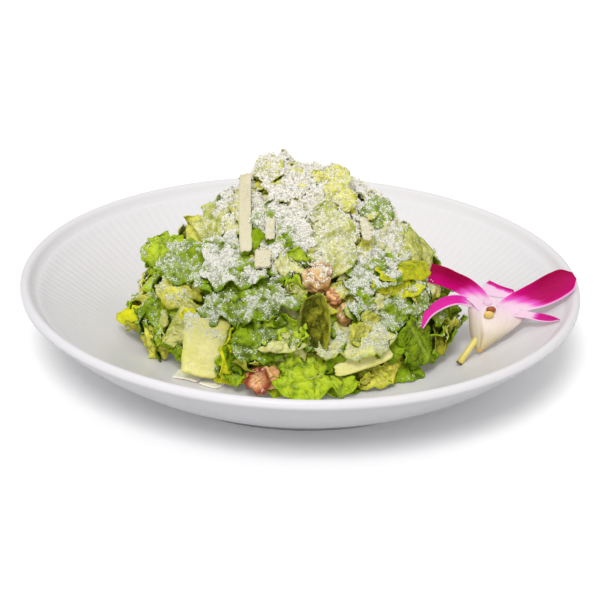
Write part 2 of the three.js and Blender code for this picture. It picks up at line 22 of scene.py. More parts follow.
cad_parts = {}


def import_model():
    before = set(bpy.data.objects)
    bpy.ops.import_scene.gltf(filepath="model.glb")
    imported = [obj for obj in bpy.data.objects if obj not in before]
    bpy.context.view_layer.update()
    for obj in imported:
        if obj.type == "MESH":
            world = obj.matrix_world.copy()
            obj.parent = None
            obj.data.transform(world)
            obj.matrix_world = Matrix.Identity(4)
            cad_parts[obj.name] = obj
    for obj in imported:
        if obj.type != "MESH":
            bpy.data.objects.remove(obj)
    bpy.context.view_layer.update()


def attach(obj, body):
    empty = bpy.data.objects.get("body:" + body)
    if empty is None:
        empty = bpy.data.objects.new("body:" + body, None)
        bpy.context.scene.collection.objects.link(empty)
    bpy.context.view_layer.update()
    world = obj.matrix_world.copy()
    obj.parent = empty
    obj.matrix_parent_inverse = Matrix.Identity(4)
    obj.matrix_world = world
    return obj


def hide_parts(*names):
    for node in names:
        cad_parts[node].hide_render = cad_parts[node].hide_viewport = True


LOG = logging.getLogger("salad")
MM = 0.001
BODY = "root"
GOLDEN_ANGLE = 2.399963

Colour = Point = tuple[float, float, float]
Points = tuple[Point, ...]
Span = tuple[float, float]
Array = np.ndarray
Inputs = dict[str | int, object]
Material, Object, Tree = bpy.types.Material, bpy.types.Object, bpy.types.NodeTree


# ------------------------------------------------------------------ numbers and colours


def srgb(red: float, green: float, blue: float) -> Colour:
    """A screen colour of 0 to 255 a channel, as linear light."""
    parts = [value / 255 for value in (red, green, blue)]
    return tuple(part / 12.92 if part <= 0.04045 else ((part + 0.055) / 1.055) ** 2.4 for part in parts)


def smooth(low: float, high: float, value: Array) -> Array:
    """A soft step from 0 at low to 1 at high."""
    part = np.clip((value - low) / (high - low), 0, 1)
    return part * part * (3 - 2 * part)


def unit(vector: Array) -> Array:
    """The vector or vectors at length one."""
    length = np.linalg.norm(vector, axis=-1, keepdims=True)
    return vector / np.maximum(length, 1e-12)


class RandomSource:
    """A small repeatable random source, the same as the frame's own."""

    def __init__(self, seed: int) -> None:
        """Starts the draws at a seed."""
        self.state = seed

    def __call__(self, low: float = 0.0, high: float = 1.0) -> float:
        """The next draw between low and high."""
        self.state = (self.state * 1664525 + 1013904223) & 0xFFFFFFFF
        return low + (high - low) * self.state / 4294967296


def waves_noise(points: Array, scale: float, seed: float) -> Array:
    """Smooth uneven noise of about -1 to 1, made of a few crossed waves.

    Args:
        points: places in millimetres, the last axis of three.
        scale: the size of a bump, in millimetres.
        seed: shifts the waves.

    Returns:
        One value for each place.
    """
    x, y, z = (points[..., axis] * (2 * math.pi / scale) for axis in range(3))
    total = np.sin(0.61 * x + 0.47 * y + seed) + np.sin(0.53 * y - 0.71 * z + 1.9 * seed)
    total += (np.sin(0.67 * z + 0.42 * x + 2.3 * seed)
              + 0.6 * np.sin(1.13 * x - 0.97 * y + 0.8 * z + 3.1 * seed))
    total += 0.5 * np.sin(1.41 * y + 1.27 * z - 0.9 * x + 0.7 * seed)
    return total / 3


def hashed(column: Array, row: Array, seed: float) -> Array:
    """A fixed random number of -1 to 1 for each corner of the lattice."""
    mixed = np.sin(column * 127.1 + row * 311.7 + seed * 74.7) * 43758.5453
    return 2 * (mixed - np.floor(mixed)) - 1


def lattice(x: Array, y: Array | float, seed: float) -> Array:
    """Smooth random noise of -1 to 1 on a plane, one unit to a bump."""
    x, y = np.broadcast_arrays(np.asarray(x, float), np.asarray(y, float))
    column, row = np.floor(x), np.floor(y)
    part_x, part_y = x - column, y - row
    part_x, part_y = part_x**2 * (3 - 2 * part_x), part_y**2 * (3 - 2 * part_y)
    low, high = (
        hashed(column, row + up, seed) * (1 - part_x) + hashed(column + 1, row + up, seed) * part_x
        for up in (0, 1))
    return low * (1 - part_y) + high * part_y


def creased(x: Array, y: Array, seed: float) -> Array:
    """Rounded bumps of 0 to 1 between sharp creases, one unit to a bump."""
    warp = 0.45 * lattice(0.6 * x + 9, 0.6 * y, seed + 5)
    first, second = lattice(x + warp, y - warp, seed), lattice(0.8 * y + 3, 0.8 * x + warp, seed + 2)
    return np.sqrt(np.minimum(np.abs(first), np.abs(second)) * 1.6)


# ------------------------------------------------------------------ mesh helpers


@dataclass
class Shell:
    """A mesh in the making, in millimetres, with values at its points."""

    points: list[Array] = field(default_factory=list)
    faces: list[Array] = field(default_factory=list)
    values: dict[str, list[Array]] = field(default_factory=dict)
    count: int = 0

    def add(self, points: Array, faces: Array, **values: Array | float) -> None:
        """Adds one closed part.

        Args:
            points: its places, one row each.
            faces: its corner numbers, one row of four each (a triangle repeats its last).
            values: named numbers, one for each place or one for all.
        """
        self.points.append(points)
        self.faces.append(faces + self.count)
        for name, value in values.items():
            row = np.broadcast_to(np.asarray(value, float), (len(points),))
            self.values.setdefault(name, []).append(row)
        self.count += len(points)

    def build(self, name: str) -> Object:
        """Makes the object, in metres, at the origin, and links it to the scene."""
        points = np.concatenate(self.points) * MM
        faces = np.concatenate(self.faces)
        rows = [tuple(row[:3]) if row[2] == row[3] else tuple(row) for row in faces.tolist()]
        mesh = bpy.data.meshes.new(name)
        mesh.from_pydata(points.tolist(), [], rows)
        for key, parts in self.values.items():
            attribute = mesh.attributes.new(key, "FLOAT", "POINT")
            attribute.data.foreach_set("value", np.concatenate(parts).astype(np.float32))
        mesh.polygons.foreach_set("use_smooth", [True] * len(mesh.polygons))
        mesh.update()
        piece = bpy.data.objects.new(name, mesh)
        bpy.context.scene.collection.objects.link(piece)
        return piece


def grid_shell(upper: Array, lower: Array) -> tuple[Array, Array]:
    """Closes two facing grids of places into one thin solid.

    Args:
        upper: places of the upper face, rows by columns by three.
        lower: places of the lower face, in the same order.

    Returns:
        The places and the faces of the solid.
    """
    rows, columns = upper.shape[0], upper.shape[1]
    index = np.arange(rows * columns).reshape(rows, columns)
    below = rows * columns
    top = np.stack([index[:-1, :-1], index[:-1, 1:], index[1:, 1:], index[1:, :-1]], -1).reshape(-1, 4)
    bottom = top[:, ::-1] + below
    rim = np.concatenate([index[0, :], index[1:, -1], index[-1, -2::-1], index[-2:0:-1, 0]])
    following = np.roll(rim, -1)
    walls = np.stack([rim, rim + below, following + below, following], -1)
    points = np.concatenate([upper.reshape(-1, 3), lower.reshape(-1, 3)])
    return points, np.concatenate([top, bottom, walls])


def sheet_normals(sheet: Array) -> Array:
    """Upward normals of a grid of places, rows along and columns across."""
    return unit(np.cross(np.gradient(sheet, axis=1), np.gradient(sheet, axis=0)))


def thicken(sheet: Array, thickness: Array | float) -> tuple[Array, Array]:
    """A closed solid on a grid of places, half its thickness to each side."""
    half = np.broadcast_to(np.asarray(thickness, float), sheet.shape[:2])[..., None] / 2
    normal = sheet_normals(sheet)
    return grid_shell(sheet + normal * half, sheet - normal * half)


def uv_grid(rows: int, columns: int) -> tuple[Array, Array]:
    """Places along a sheet, 0 to 1, and across it, -1 to 1."""
    u, v = np.meshgrid(np.linspace(0, 1, rows + 1), np.linspace(-1, 1, columns + 1), indexing="ij")
    return u, v


def cupped(half: Array, v: Array, cup: float) -> tuple[Array, Array]:
    """Spread and rise of a sheet of a half width that cups across by an angle in degrees."""
    turn = math.radians(cup or 0.01)
    return half * np.sin(v * turn / 2) / (turn / 2), half * (1 - np.cos(v * turn / 2)) / (turn / 2)


def bent(
    axes: tuple[Array, Array, Array, Array], size: Span, u: Array,
    offsets: tuple[Array, Array, Array],
) -> Array:
    """Lays a sheet on an arc.

    Args:
        axes: the sheet's centre and its along, across and face directions.
        size: its length in millimetres, and the arc's angle in degrees.
        u: how far along each place is, 0 to 1.
        offsets: how far each place is moved along, across and off the arc.

    Returns:
        The grid of places.
    """
    (centre, along, across, face), (run, spread, rise) = axes, offsets
    turn = math.radians(size[1] or 0.01)
    arc = size[0] / (2 * math.sin(turn / 2))
    angle = (u - 0.5) * turn
    lift = arc * (np.cos(angle) - math.cos(turn / 2))
    normal = face * np.cos(angle)[..., None] + along * np.sin(angle)[..., None]
    places = centre + along * (arc * np.sin(angle) + run)[..., None] + face * lift[..., None]
    return places + across * spread[..., None] + normal * rise[..., None]


def tube_faces(rings: int, sides: int) -> Array:
    """Faces of a tube of rings that closes on two end points, which come after the rings."""
    index = np.arange(rings * sides).reshape(rings, sides)
    onward = np.roll(index, -1, 1)
    walls = np.stack([index[:-1], onward[:-1], onward[1:], index[1:]], -1).reshape(-1, 4)
    start, end = np.full(sides, index.size), np.full(sides, index.size + 1)
    first = np.stack([start, onward[0], index[0], index[0]], -1)
    return np.concatenate([walls, first, np.stack([index[-1], onward[-1], end, end], -1)])


def lathe_shell(profile: list[Span], sides: int) -> tuple[Array, Array]:
    """A solid of revolution about Z from a profile that starts and ends on the axis."""
    inner = np.array(profile[1:-1], float)
    turn = np.linspace(0, 2 * math.pi, sides, endpoint=False)
    ring = np.stack([np.cos(turn), np.sin(turn)], -1)
    body = np.concatenate([inner[:, None, :1] * ring[None], np.repeat(inner[:, None, 1:], sides, 1)], -1)
    ends = [[0, 0, profile[0][1]], [0, 0, profile[-1][1]]]
    return np.concatenate([body.reshape(-1, 3), ends]), tube_faces(len(inner), sides)


def finish_piece(
    piece: Object, material: Material, replaces: tuple[str, ...] = ()
) -> None:
    """Dresses a piece, hangs it on the body, and hides the frame's nodes that it stands for.

    Args:
        piece: the finished object, at the origin.
        material: its finish.
        replaces: the frame's nodes that it stands for.
    """
    if not piece.data.materials:
        piece.data.materials.append(material)
    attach(piece, BODY)
    if replaces:
        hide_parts(*replaces)
    LOG.info("%s: %d faces", piece.name, len(piece.data.polygons))


# ------------------------------------------------------------------ shader helpers


class Wire:
    """A value on its way through a node tree, with plain arithmetic."""

    def __init__(self, graph: Graph, socket: bpy.types.NodeSocket) -> None:
        """Holds an output socket and the graph that it lies in."""
        self.graph, self.socket = graph, socket

    def __add__(self, other: object) -> Wire:
        """The sum."""
        return self.graph.math("ADD", self, other)

    def __sub__(self, other: object) -> Wire:
        """The difference."""
        return self.graph.math("SUBTRACT", self, other)

    def __rsub__(self, other: object) -> Wire:
        """The difference from a plain number."""
        return self.graph.math("SUBTRACT", other, self)

    def __mul__(self, other: object) -> Wire:
        """The product."""
        return self.graph.math("MULTIPLY", self, other)


class Graph:
    """A node tree that is written as arithmetic and nested calls."""

    def __init__(self, tree: Tree) -> None:
        """Holds the tree that the nodes go into."""
        self.tree = tree

    def node(self, kind: str, inputs: Inputs | None = None, **settings: object) -> bpy.types.Node:
        """Adds a node.

        Args:
            kind: the node's type name.
            inputs: a plain value, a socket or a wire for each named or numbered input.
            settings: plain properties of the node.

        Returns:
            The node.
        """
        node = self.tree.nodes.new(kind)
        for name, value in settings.items():
            setattr(node, name, value)
        for name, value in (inputs or {}).items():
            self.feed(node.inputs[name], value)
        return node

    def feed(self, socket: bpy.types.NodeSocket, value: object) -> None:
        """Links an output to a socket, or sets the socket's own value."""
        value = value.socket if isinstance(value, Wire) else value
        if isinstance(value, bpy.types.NodeSocket):
            self.tree.links.new(value, socket)
            return
        socket.default_value = (*value, 1.0) if socket.type == "RGBA" and len(value) == 3 else value

    def wire(
        self, kind: str, inputs: Inputs | None = None, output: str | int = 0, **settings: object
    ) -> Wire:
        """Adds a node and gives one of its outputs."""
        return Wire(self, self.node(kind, inputs, **settings).outputs[output])

    def math(self, operation: str, *values: object, clamp: bool = False) -> Wire:
        """The result of a Math node."""
        return self.wire("ShaderNodeMath", dict(enumerate(values)), operation=operation, use_clamp=clamp)

    def ramp(self, value: object, low: object, high: object, start: float = 0.0, end: float = 1.0) -> Wire:
        """A soft step of a value from start at low to end at high."""
        inputs = {"Value": value, "From Min": low, "From Max": high, "To Min": start, "To Max": end}
        return self.wire("ShaderNodeMapRange", inputs, "Result", interpolation_type="SMOOTHSTEP")

    def mix(self, part: object, first: object, second: object) -> Wire:
        """A colour between two, by a part of 0 to 1."""
        node = self.node("ShaderNodeMix", data_type="RGBA", clamp_factor=True)
        self.feed(node.inputs["Factor"], part)
        for socket, value in zip([s for s in node.inputs if s.type == "RGBA"], (first, second)):
            self.feed(socket, value)
        return Wire(self, next(socket for socket in node.outputs if socket.type == "RGBA"))

    def noise(
        self, scale: object, detail: float = 3.0, roughness: float = 0.55, vector: object = None
    ) -> Wire:
        """Noise of 0 to 1 on a vector, or on the piece's own coordinates."""
        where = self.object_coordinates() if vector is None else vector
        inputs = {"Vector": where, "Scale": scale, "Detail": detail, "Roughness": roughness}
        return self.wire("ShaderNodeTexNoise", inputs, "Fac")

    def object_coordinates(self) -> Wire:
        """The piece's own coordinates, in metres."""
        return self.wire("ShaderNodeTexCoord", output="Object")

    def attribute(self, name: str) -> Wire:
        """A number kept at the mesh's points."""
        return self.wire("ShaderNodeAttribute", output="Fac", attribute_name=name)

    def vector(self, x: object = 0.0, y: object = 0.0, z: object = 0.0) -> Wire:
        """A vector of three numbers."""
        return self.wire("ShaderNodeCombineXYZ", {0: x, 1: y, 2: z})

    def parts(self, vector: object) -> list[Wire]:
        """The three numbers of a vector."""
        return [Wire(self, socket) for socket in self.node("ShaderNodeSeparateXYZ", {0: vector}).outputs]

    def group(self, tree: Tree, inputs: dict[str, object]) -> dict[str, Wire]:
        """Places a node group and gives its outputs by name."""
        node = self.node("ShaderNodeGroup", inputs, node_tree=tree)
        return {socket.name: Wire(self, socket) for socket in node.outputs}

    def close(self, outputs: dict[str, object]) -> Tree:
        """Feeds the group's outputs and gives its tree."""
        self.node("NodeGroupOutput", outputs)
        return self.tree


Sockets = dict[str, tuple[str, ...]]


def new_tree(kind: str, name: str, inputs: Sockets, outputs: Sockets) -> tuple[Graph, dict[str, Wire]]:
    """Starts a node group.

    Args:
        kind: "Shader" or "Geometry".
        name: the group's name.
        inputs: the names of its inputs under each sort of socket, such as "Float".
        outputs: the same for its outputs.

    Returns:
        Its graph, and its inputs by name.
    """
    tree = bpy.data.node_groups.new(name, kind + "NodeTree")
    for side, sockets in (("INPUT", inputs), ("OUTPUT", outputs)):
        for sort, keys in sockets.items():
            for key in keys:
                tree.interface.new_socket(key, in_out=side, socket_type="NodeSocket" + sort)
    graph = Graph(tree)
    entry = graph.node("NodeGroupInput")
    return graph, {socket.name: Wire(graph, socket) for socket in entry.outputs if socket.name}


class Effects:
    """Shader groups that several finishes share, each built once."""

    vein_sizes = (4.6, 1.9)

    def __init__(self) -> None:
        """Builds the groups."""
        self.veins, self.speckle, self.patches = self._veins(), self._speckle(), self._patches()

    def _veins(self) -> Tree:
        """The net of veins of a crinkled leaf, on places along and across it in millimetres."""
        graph, value = new_tree(
            "Shader", "leaf_veins", {"Float": ("X", "Y", "Piece")}, {"Float": ("Mask", "Puff", "Fibre")})
        place = graph.vector(value["X"], value["Y"], value["Piece"])
        warp = graph.wire("ShaderNodeTexNoise", {"Vector": place, "Scale": 0.35, "Detail": 2.0}, "Color")
        bent = graph.wire(
            "ShaderNodeVectorMath", {0: warp, 1: (3.2, 3.2, 0.0), 2: place}, operation="MULTIPLY_ADD")
        wide, fine = (
            graph.wire("ShaderNodeTexVoronoi", {"Vector": bent, "Scale": 1 / size}, "Distance",
                       feature="DISTANCE_TO_EDGE")
            for size in self.vein_sizes)
        wide_net, fine_net = graph.ramp(wide, 0.0, 0.16, 1.0, 0.0), graph.ramp(fine, 0.0, 0.2, 0.55, 0.0)
        puff = graph.ramp(wide, 0.0, 0.5) + graph.ramp(fine, 0.0, 0.5) * 0.45
        drawn = graph.vector(value["X"] * 0.07, value["Y"] * 1.5, value["Piece"])
        fibre = graph.ramp(graph.noise(1.0, 3.0, 0.5, drawn), 0.35, 0.65)
        return graph.close({"Mask": graph.math("MAXIMUM", wide_net, fine_net), "Puff": puff, "Fibre": fibre})

    @staticmethod
    def _speckle() -> Tree:
        """Fine grated crumbs painted where an amount allows them, with their height."""
        graph, value = new_tree(
            "Shader", "grated_speckle", {"Float": ("Amount", "Scale")}, {"Float": ("Mask", "Height")})
        over = graph.noise(value["Scale"], 2.0, 0.5) - (0.74 - value["Amount"] * 0.27)
        mask = graph.math("MULTIPLY", over, 18, clamp=True)
        return graph.close({"Mask": mask, "Height": graph.math("MAXIMUM", over, 0.0)})

    @staticmethod
    def _patches() -> Tree:
        """Soft uneven patches of a size, from none to all over by an amount."""
        graph, value = new_tree(
            "Shader", "soft_patches", {"Float": ("Amount", "Scale", "Soft")}, {"Float": ("Mask",)})
        over = graph.noise(value["Scale"], 3.0, 0.5) - (0.72 - value["Amount"] * 0.44)
        return graph.close({"Mask": graph.math("DIVIDE", over, value["Soft"], clamp=True)})


class Surface(Graph):
    """A material in the making, round its Principled shader."""

    def __init__(self, name: str) -> None:
        """Starts the material."""
        self.material = bpy.data.materials.new(name)
        self.material.use_nodes = True
        super().__init__(self.material.node_tree)
        self.shader = next(node for node in self.tree.nodes if node.type == "BSDF_PRINCIPLED")

    def dress(
        self, inputs: dict[str, object], glow: tuple[float, Colour, float] | None = None,
        bump: tuple[float, float, Wire] | None = None,
    ) -> Material:
        """Feeds the shader.

        Args:
            inputs: a value for each named input.
            glow: how much light goes under the surface, the reach of each colour, and its scale
                in millimetres.
            bump: the strength of its relief, the depth in millimetres, and the height.

        Returns:
            The finished material.
        """
        if glow:
            inputs = {**inputs, "Subsurface Weight": glow[0], "Subsurface Radius": glow[1],
                      "Subsurface Scale": glow[2] * MM}
        if bump:
            relief = {"Strength": bump[0], "Distance": bump[1] * MM, "Height": bump[2]}
            inputs = {**inputs, "Normal": self.wire("ShaderNodeBump", relief, "Normal")}
        for name, value in inputs.items():
            self.feed(self.shader.inputs[name], value)
        return self.material


# ------------------------------------------------------------------ finishes

CHEESE: Colour = srgb(246, 243, 232)


@dataclass(frozen=True)
class LeafFinish:
    """The finish of one sort of romaine tissue, with painted shade in its creases and crevices and painted
    light on its blister tops.
    """

    name: str
    deep: Colour
    light: Colour
    vein: Colour
    rim: Colour
    dressing: float = 0.4
    vein_strength: float = 0.5
    fibres: float = 0.0
    roughness: float = 0.36
    puff: float = 0.5
    translucence: float = 0.2
    mottle: float = 1.0
    shadow: Colour = srgb(34, 54, 2)
    film: Colour = srgb(214, 220, 186)

    def build(self, effects: Effects) -> Material:
        """Makes the material."""
        surface = Surface(self.name)
        keys = ("snow", "tone", "edge", "relief", "ribbed", "along", "across", "piece", "open")
        snow, tone, edge, relief, ribbed, along, across, piece, opened = map(surface.attribute, keys)
        veins = surface.group(effects.veins, {"X": along, "Y": across, "Piece": piece})
        blade, plain = 1 - self.fibres, 1 - 0.7 * self.fibres
        shade = tone * 0.5 + surface.ramp(surface.noise(95, 4, 0.6), 0.35, 0.68, -0.18, 0.36)
        # painted shade in the creases and painted light on the blister tops, from the relief and the vein
        # puff
        shade = shade + (relief * 0.85 + veins["Puff"] * 0.5 - 0.46) * (1.35 * blade)
        for scale, detail, rough, share in ((520, 3, 0.65, 0.28), (1300, 2, 0.55, 0.12)):
            swing = share * self.mottle
            grain = surface.noise(scale, detail, rough)
            shade = shade + surface.ramp(grain, 0.3, 0.7, -swing, swing) * plain
        shade = surface.math("ADD", shade, veins["Fibre"] * (0.1 * self.fibres), clamp=True)
        tissue = surface.mix(shade, self.deep, self.light)
        net = surface.math("MAXIMUM", veins["Mask"] * (self.vein_strength * blade), ribbed)
        tissue = surface.mix(net, tissue, self.vein)
        tissue = surface.mix(surface.ramp(edge, 0.72, 1.0, 0, 0.6), tissue, self.rim)
        film = surface.group(effects.patches, {"Amount": self.dressing, "Scale": 130.0, "Soft": 0.2})["Mask"]
        tissue = surface.mix((film * 0.35 + 0.34) * surface.ramp(snow, 0.05, 0.9), tissue, self.film)
        # painted shade: places that the open value marks as deep in a crevice go towards the shadow colour
        depth = 0.95 * (1 - 0.6 * self.fibres)
        tissue = surface.mix(surface.ramp(opened, 0.25, 0.85, depth, 0), tissue, self.shadow)
        dust = surface.group(effects.speckle, {"Amount": snow, "Scale": 1500.0})
        swell = veins["Puff"] * self.puff + veins["Fibre"] * (0.04 * self.fibres)
        swell = swell + surface.noise(700, 2) * 0.18 + dust["Height"] * 5
        inputs = {
            "Base Color": surface.mix(dust["Mask"], tissue, CHEESE),
            "Roughness": surface.ramp(dust["Mask"], 0, 1, self.roughness, 0.75),
            "Specular IOR Level": 0.06,
        }
        return surface.dress(inputs, (self.translucence, (0.9, 1.0, 0.35), 1.2), (1.0, 1.2, swell))


@dataclass(frozen=True)
class CheeseFinish:
    """The finish of cut or grated parmesan, with a painted glow where lift is set and painted shade low down
    where low is set.
    """

    name: str
    light: Colour
    dark: Colour
    grain: float = 500.0
    roughness: float = 0.62
    glow: float = 0.35
    # painted glow: how strongly the cheese emits its own light colour, though it is no lamp
    lift: float = 0.0
    # painted shade: the greyer colour that the cheese takes low on the heap
    low: Colour | None = None

    def build(self, effects: Effects) -> Material:
        """Makes the material."""
        surface = Surface(self.name)
        mottle = surface.group(effects.patches, {"Amount": 0.5, "Scale": self.grain, "Soft": 0.35})["Mask"]
        wide = surface.ramp(surface.noise(70, 2), 0.3, 0.7)
        colour = surface.mix(mottle * (wide * 0.6 + 0.4), self.light, self.dark)
        # painted shade: from 80 mm down to 30 mm up, the cheese goes to the low colour
        if self.low:
            height = surface.parts(surface.object_coordinates())[2]
            colour = surface.mix(surface.ramp(height, 0.03, 0.08, 1, 0), colour, self.low)
        inputs = {
            "Base Color": colour,
            "Roughness": surface.ramp(wide, 0, 1, self.roughness - 0.08, self.roughness + 0.1),
            # painted glow of the light colour
            "Emission Color": self.light,
            "Emission Strength": self.lift,
        }
        relief = surface.noise(self.grain * 2.2, 3)
        return surface.dress(inputs, (self.glow, (1.0, 0.85, 0.6), 0.8), (0.3, 0.25, relief))


@dataclass(frozen=True)
class ToastedFinish:
    """The finish of a nut or a crouton: three browns in patches, painted shade in the folds, and gloss in
    places.
    """

    name: str
    pale: Colour
    warm: Colour
    dark: Colour
    patch: float
    roughness: float
    pores: float
    coat: float = 0.0

    def build(self, effects: Effects) -> Material:
        """Makes the material."""
        surface = Surface(self.name)
        burnt = surface.group(effects.patches, {"Amount": 0.5, "Scale": self.patch, "Soft": 0.3})["Mask"]
        cloud = surface.ramp(surface.noise(self.patch * 0.6, 4), 0.25, 0.65, 0, 0.6)
        hollow, toast, snow = map(surface.attribute, ("hollow", "toast", "snow"))
        warmth = surface.math("MULTIPLY", cloud + toast, 0.62, clamp=True)
        colour = surface.mix(warmth, self.pale, self.warm)
        colour = surface.mix(burnt * surface.ramp(toast, 0.2, 0.8, 0.15, 0.85), colour, self.dark)
        # painted shade in the folds; on the ringed walnut this also paints its own dark ring and specks
        colour = surface.mix(surface.math("MULTIPLY", hollow, 0.85, clamp=True), colour, self.dark)
        dust = surface.group(effects.speckle, {"Amount": snow, "Scale": 1500.0})["Mask"]
        inputs = {
            "Base Color": surface.mix(dust, colour, CHEESE),
            "Roughness": surface.ramp(cloud, 0, 1, self.roughness - 0.1, self.roughness + 0.15),
            "Coat Weight": self.coat,
            "Coat Roughness": 0.12,
        }
        relief = surface.noise(self.pores, 4) + surface.noise(self.pores * 3, 2) * 0.4
        return surface.dress(inputs, (0.06, (1.0, 0.5, 0.25), 1.0), (0.5, 0.5, relief))


@dataclass(frozen=True)
class GlazeFinish:
    """White glazed porcelain, with painted shade on the faces that look down."""

    name: str = "white_glaze"
    body: Colour = (0.725, 0.705, 0.73)
    warm: Colour = (0.715, 0.695, 0.705)
    # painted shade for the faces that look down, such as the outer wall
    under: Colour = (0.43, 0.43, 0.45)
    roughness: float = 0.32

    def build(self) -> Material:
        """Makes the material."""
        surface = Surface(self.name)
        drift = surface.ramp(surface.noise(9, 2), 0.3, 0.7)
        facing = surface.parts(surface.wire("ShaderNodeNewGeometry", output="Normal"))[2]
        glaze = surface.mix(drift, self.body, self.warm)
        inputs = {
            # painted shade: faces that look down go towards the under colour
            "Base Color": surface.mix(surface.ramp(facing, -0.7, 0.1, 0.85, 0.0), glaze, self.under),
            "Roughness": surface.ramp(
                surface.noise(60, 3), 0.3, 0.75, self.roughness - 0.04, self.roughness + 0.08),
            "Specular IOR Level": 0.12,
            "Coat Weight": 0.06,
            "Coat Roughness": 0.1,
        }
        return surface.dress(inputs, bump=(0.04, 0.3, surface.noise(240, 2)))


@dataclass(frozen=True)
class PetalFinish:
    """Magenta petal that fades to white in the throat, with fine veins along it."""

    name: str = "dendrobium_petal"
    magenta: Colour = srgb(210, 0, 128)
    crimson: Colour = srgb(144, 0, 50)
    rose: Colour = srgb(230, 50, 172)
    lilac: Colour = srgb(224, 84, 190)
    blush: Colour = srgb(228, 196, 214)
    back: Colour = srgb(226, 176, 202)
    stripe: Colour = srgb(240, 170, 220)
    back_rose: Colour = srgb(232, 120, 190)

    def build(self) -> Material:
        """Makes the material."""
        surface = Surface(self.name)
        keys = ("fade", "back", "along", "across", "deep", "pink")
        fade, back, along, across, deep, pink = map(surface.attribute, keys)
        stripes = surface.noise(2.4, 3, 0.6, surface.vector(along * 2.2, across * 9))
        deep = surface.math("ADD", deep, surface.ramp(stripes, 0.35, 0.7, -0.16, 0.16), clamp=True)
        rich = surface.mix(pink, surface.mix(deep, self.magenta, self.crimson), self.rose)
        pale = surface.mix(surface.ramp(stripes, 0.45, 0.75, 0, 0.2), self.blush, self.stripe)
        front = surface.mix(surface.ramp(fade, 0.0, 0.5), pale, self.lilac)
        front = surface.mix(surface.ramp(fade, 0.4, 0.95), front, rich)
        colour = surface.mix(back, front, surface.mix(fade * 0.5, self.back, self.back_rose))
        inputs = {"Base Color": colour, "Roughness": 0.5, "Specular IOR Level": 0.06}
        return surface.dress(inputs, (0.2, (1.0, 0.4, 0.7), 1.0), (0.25, 0.3, stripes))


@dataclass(frozen=True)
class BlossomFinish:
    """The cream body of the flower: white and pink above, pale yellow-green below."""

    name: str
    top: Colour
    middle: Colour
    low: Colour
    tip: Colour
    veil: Colour = srgb(204, 184, 190)
    # the colour of the crease low on the fold, also used as painted shade down the left flank
    crease_and_shade: Colour = srgb(186, 158, 126)

    def build(self) -> Material:
        """Makes the material."""
        surface = Surface(self.name)
        height, side = surface.attribute("rise"), surface.attribute("side")
        colour = surface.mix(surface.ramp(height, 0.05, 0.5), self.low, self.middle)
        colour = surface.mix(surface.ramp(height, 0.45, 0.95), colour, self.top)
        streaks = surface.noise(2.0, 3, 0.6, surface.vector(height * 1.6, side * 7))
        colour = surface.mix(surface.ramp(streaks, 0.4, 0.75, 0, 0.5), colour, self.veil)
        # the crease colour along the low fold, and painted shade down the cup's left flank
        fold = surface.ramp(surface.math("ABSOLUTE", side), 0.02, 0.16, 0.75, 0)
        fold = fold * surface.ramp(height, 0.3, 0.6, 1, 0)
        crease_and_flank_shade = surface.math("MAXIMUM", fold, surface.ramp(side, -0.95, -0.6, 0.7, 0))
        colour = surface.mix(crease_and_flank_shade, colour, self.crease_and_shade)
        colour = surface.mix(surface.ramp(height, 0.03, 0.12, 1, 0), colour, self.tip)
        inputs = {"Base Color": colour, "Roughness": 0.46}
        return surface.dress(inputs, (0.3, (1.0, 0.8, 0.6), 1.5), (0.2, 0.3, surface.noise(500, 3)))


class Tissue(Enum):
    """The sorts of romaine in the heap."""

    HEART = LeafFinish(
        "romaine_heart", srgb(142, 146, 0), srgb(230, 224, 84), srgb(234, 228, 136), srgb(176, 184, 0),
        dressing=0.35, vein_strength=0.35, roughness=0.4, mottle=0.8)
    PALE = LeafFinish(
        "romaine_pale", srgb(146, 154, 10), srgb(222, 218, 138), srgb(228, 226, 174), srgb(160, 176, 20),
        dressing=0.4, vein_strength=0.3, mottle=0.7)
    LIME = LeafFinish(
        "romaine_lime", srgb(112, 120, 0), srgb(216, 216, 14), srgb(222, 222, 80), srgb(212, 212, 40),
        dressing=0.0, vein_strength=0.35, roughness=0.4, puff=0.25, mottle=0.45)
    BRIGHT = LeafFinish(
        "romaine_bright", srgb(64, 106, 0), srgb(182, 204, 34), srgb(206, 218, 96), srgb(156, 190, 0),
        dressing=0.15, vein_strength=0.35, roughness=0.36, mottle=0.8)
    GREEN = LeafFinish(
        "romaine_green", srgb(34, 60, 0), srgb(134, 162, 10), srgb(164, 184, 60), srgb(122, 160, 0),
        dressing=0.35, vein_strength=0.3, roughness=0.38)
    OLIVE = LeafFinish(
        "romaine_olive", srgb(48, 54, 0), srgb(166, 164, 44), srgb(150, 148, 50), srgb(166, 168, 66),
        dressing=0.1, vein_strength=0.2, puff=0.15, mottle=0.35)
    RIB = LeafFinish(
        "romaine_rib", srgb(222, 218, 124), srgb(246, 240, 188), srgb(248, 242, 198), srgb(212, 208, 90),
        dressing=0.3, vein_strength=0.25, fibres=1.0, roughness=0.4, puff=0.12, translucence=0.3)


# ------------------------------------------------------------------ the mound


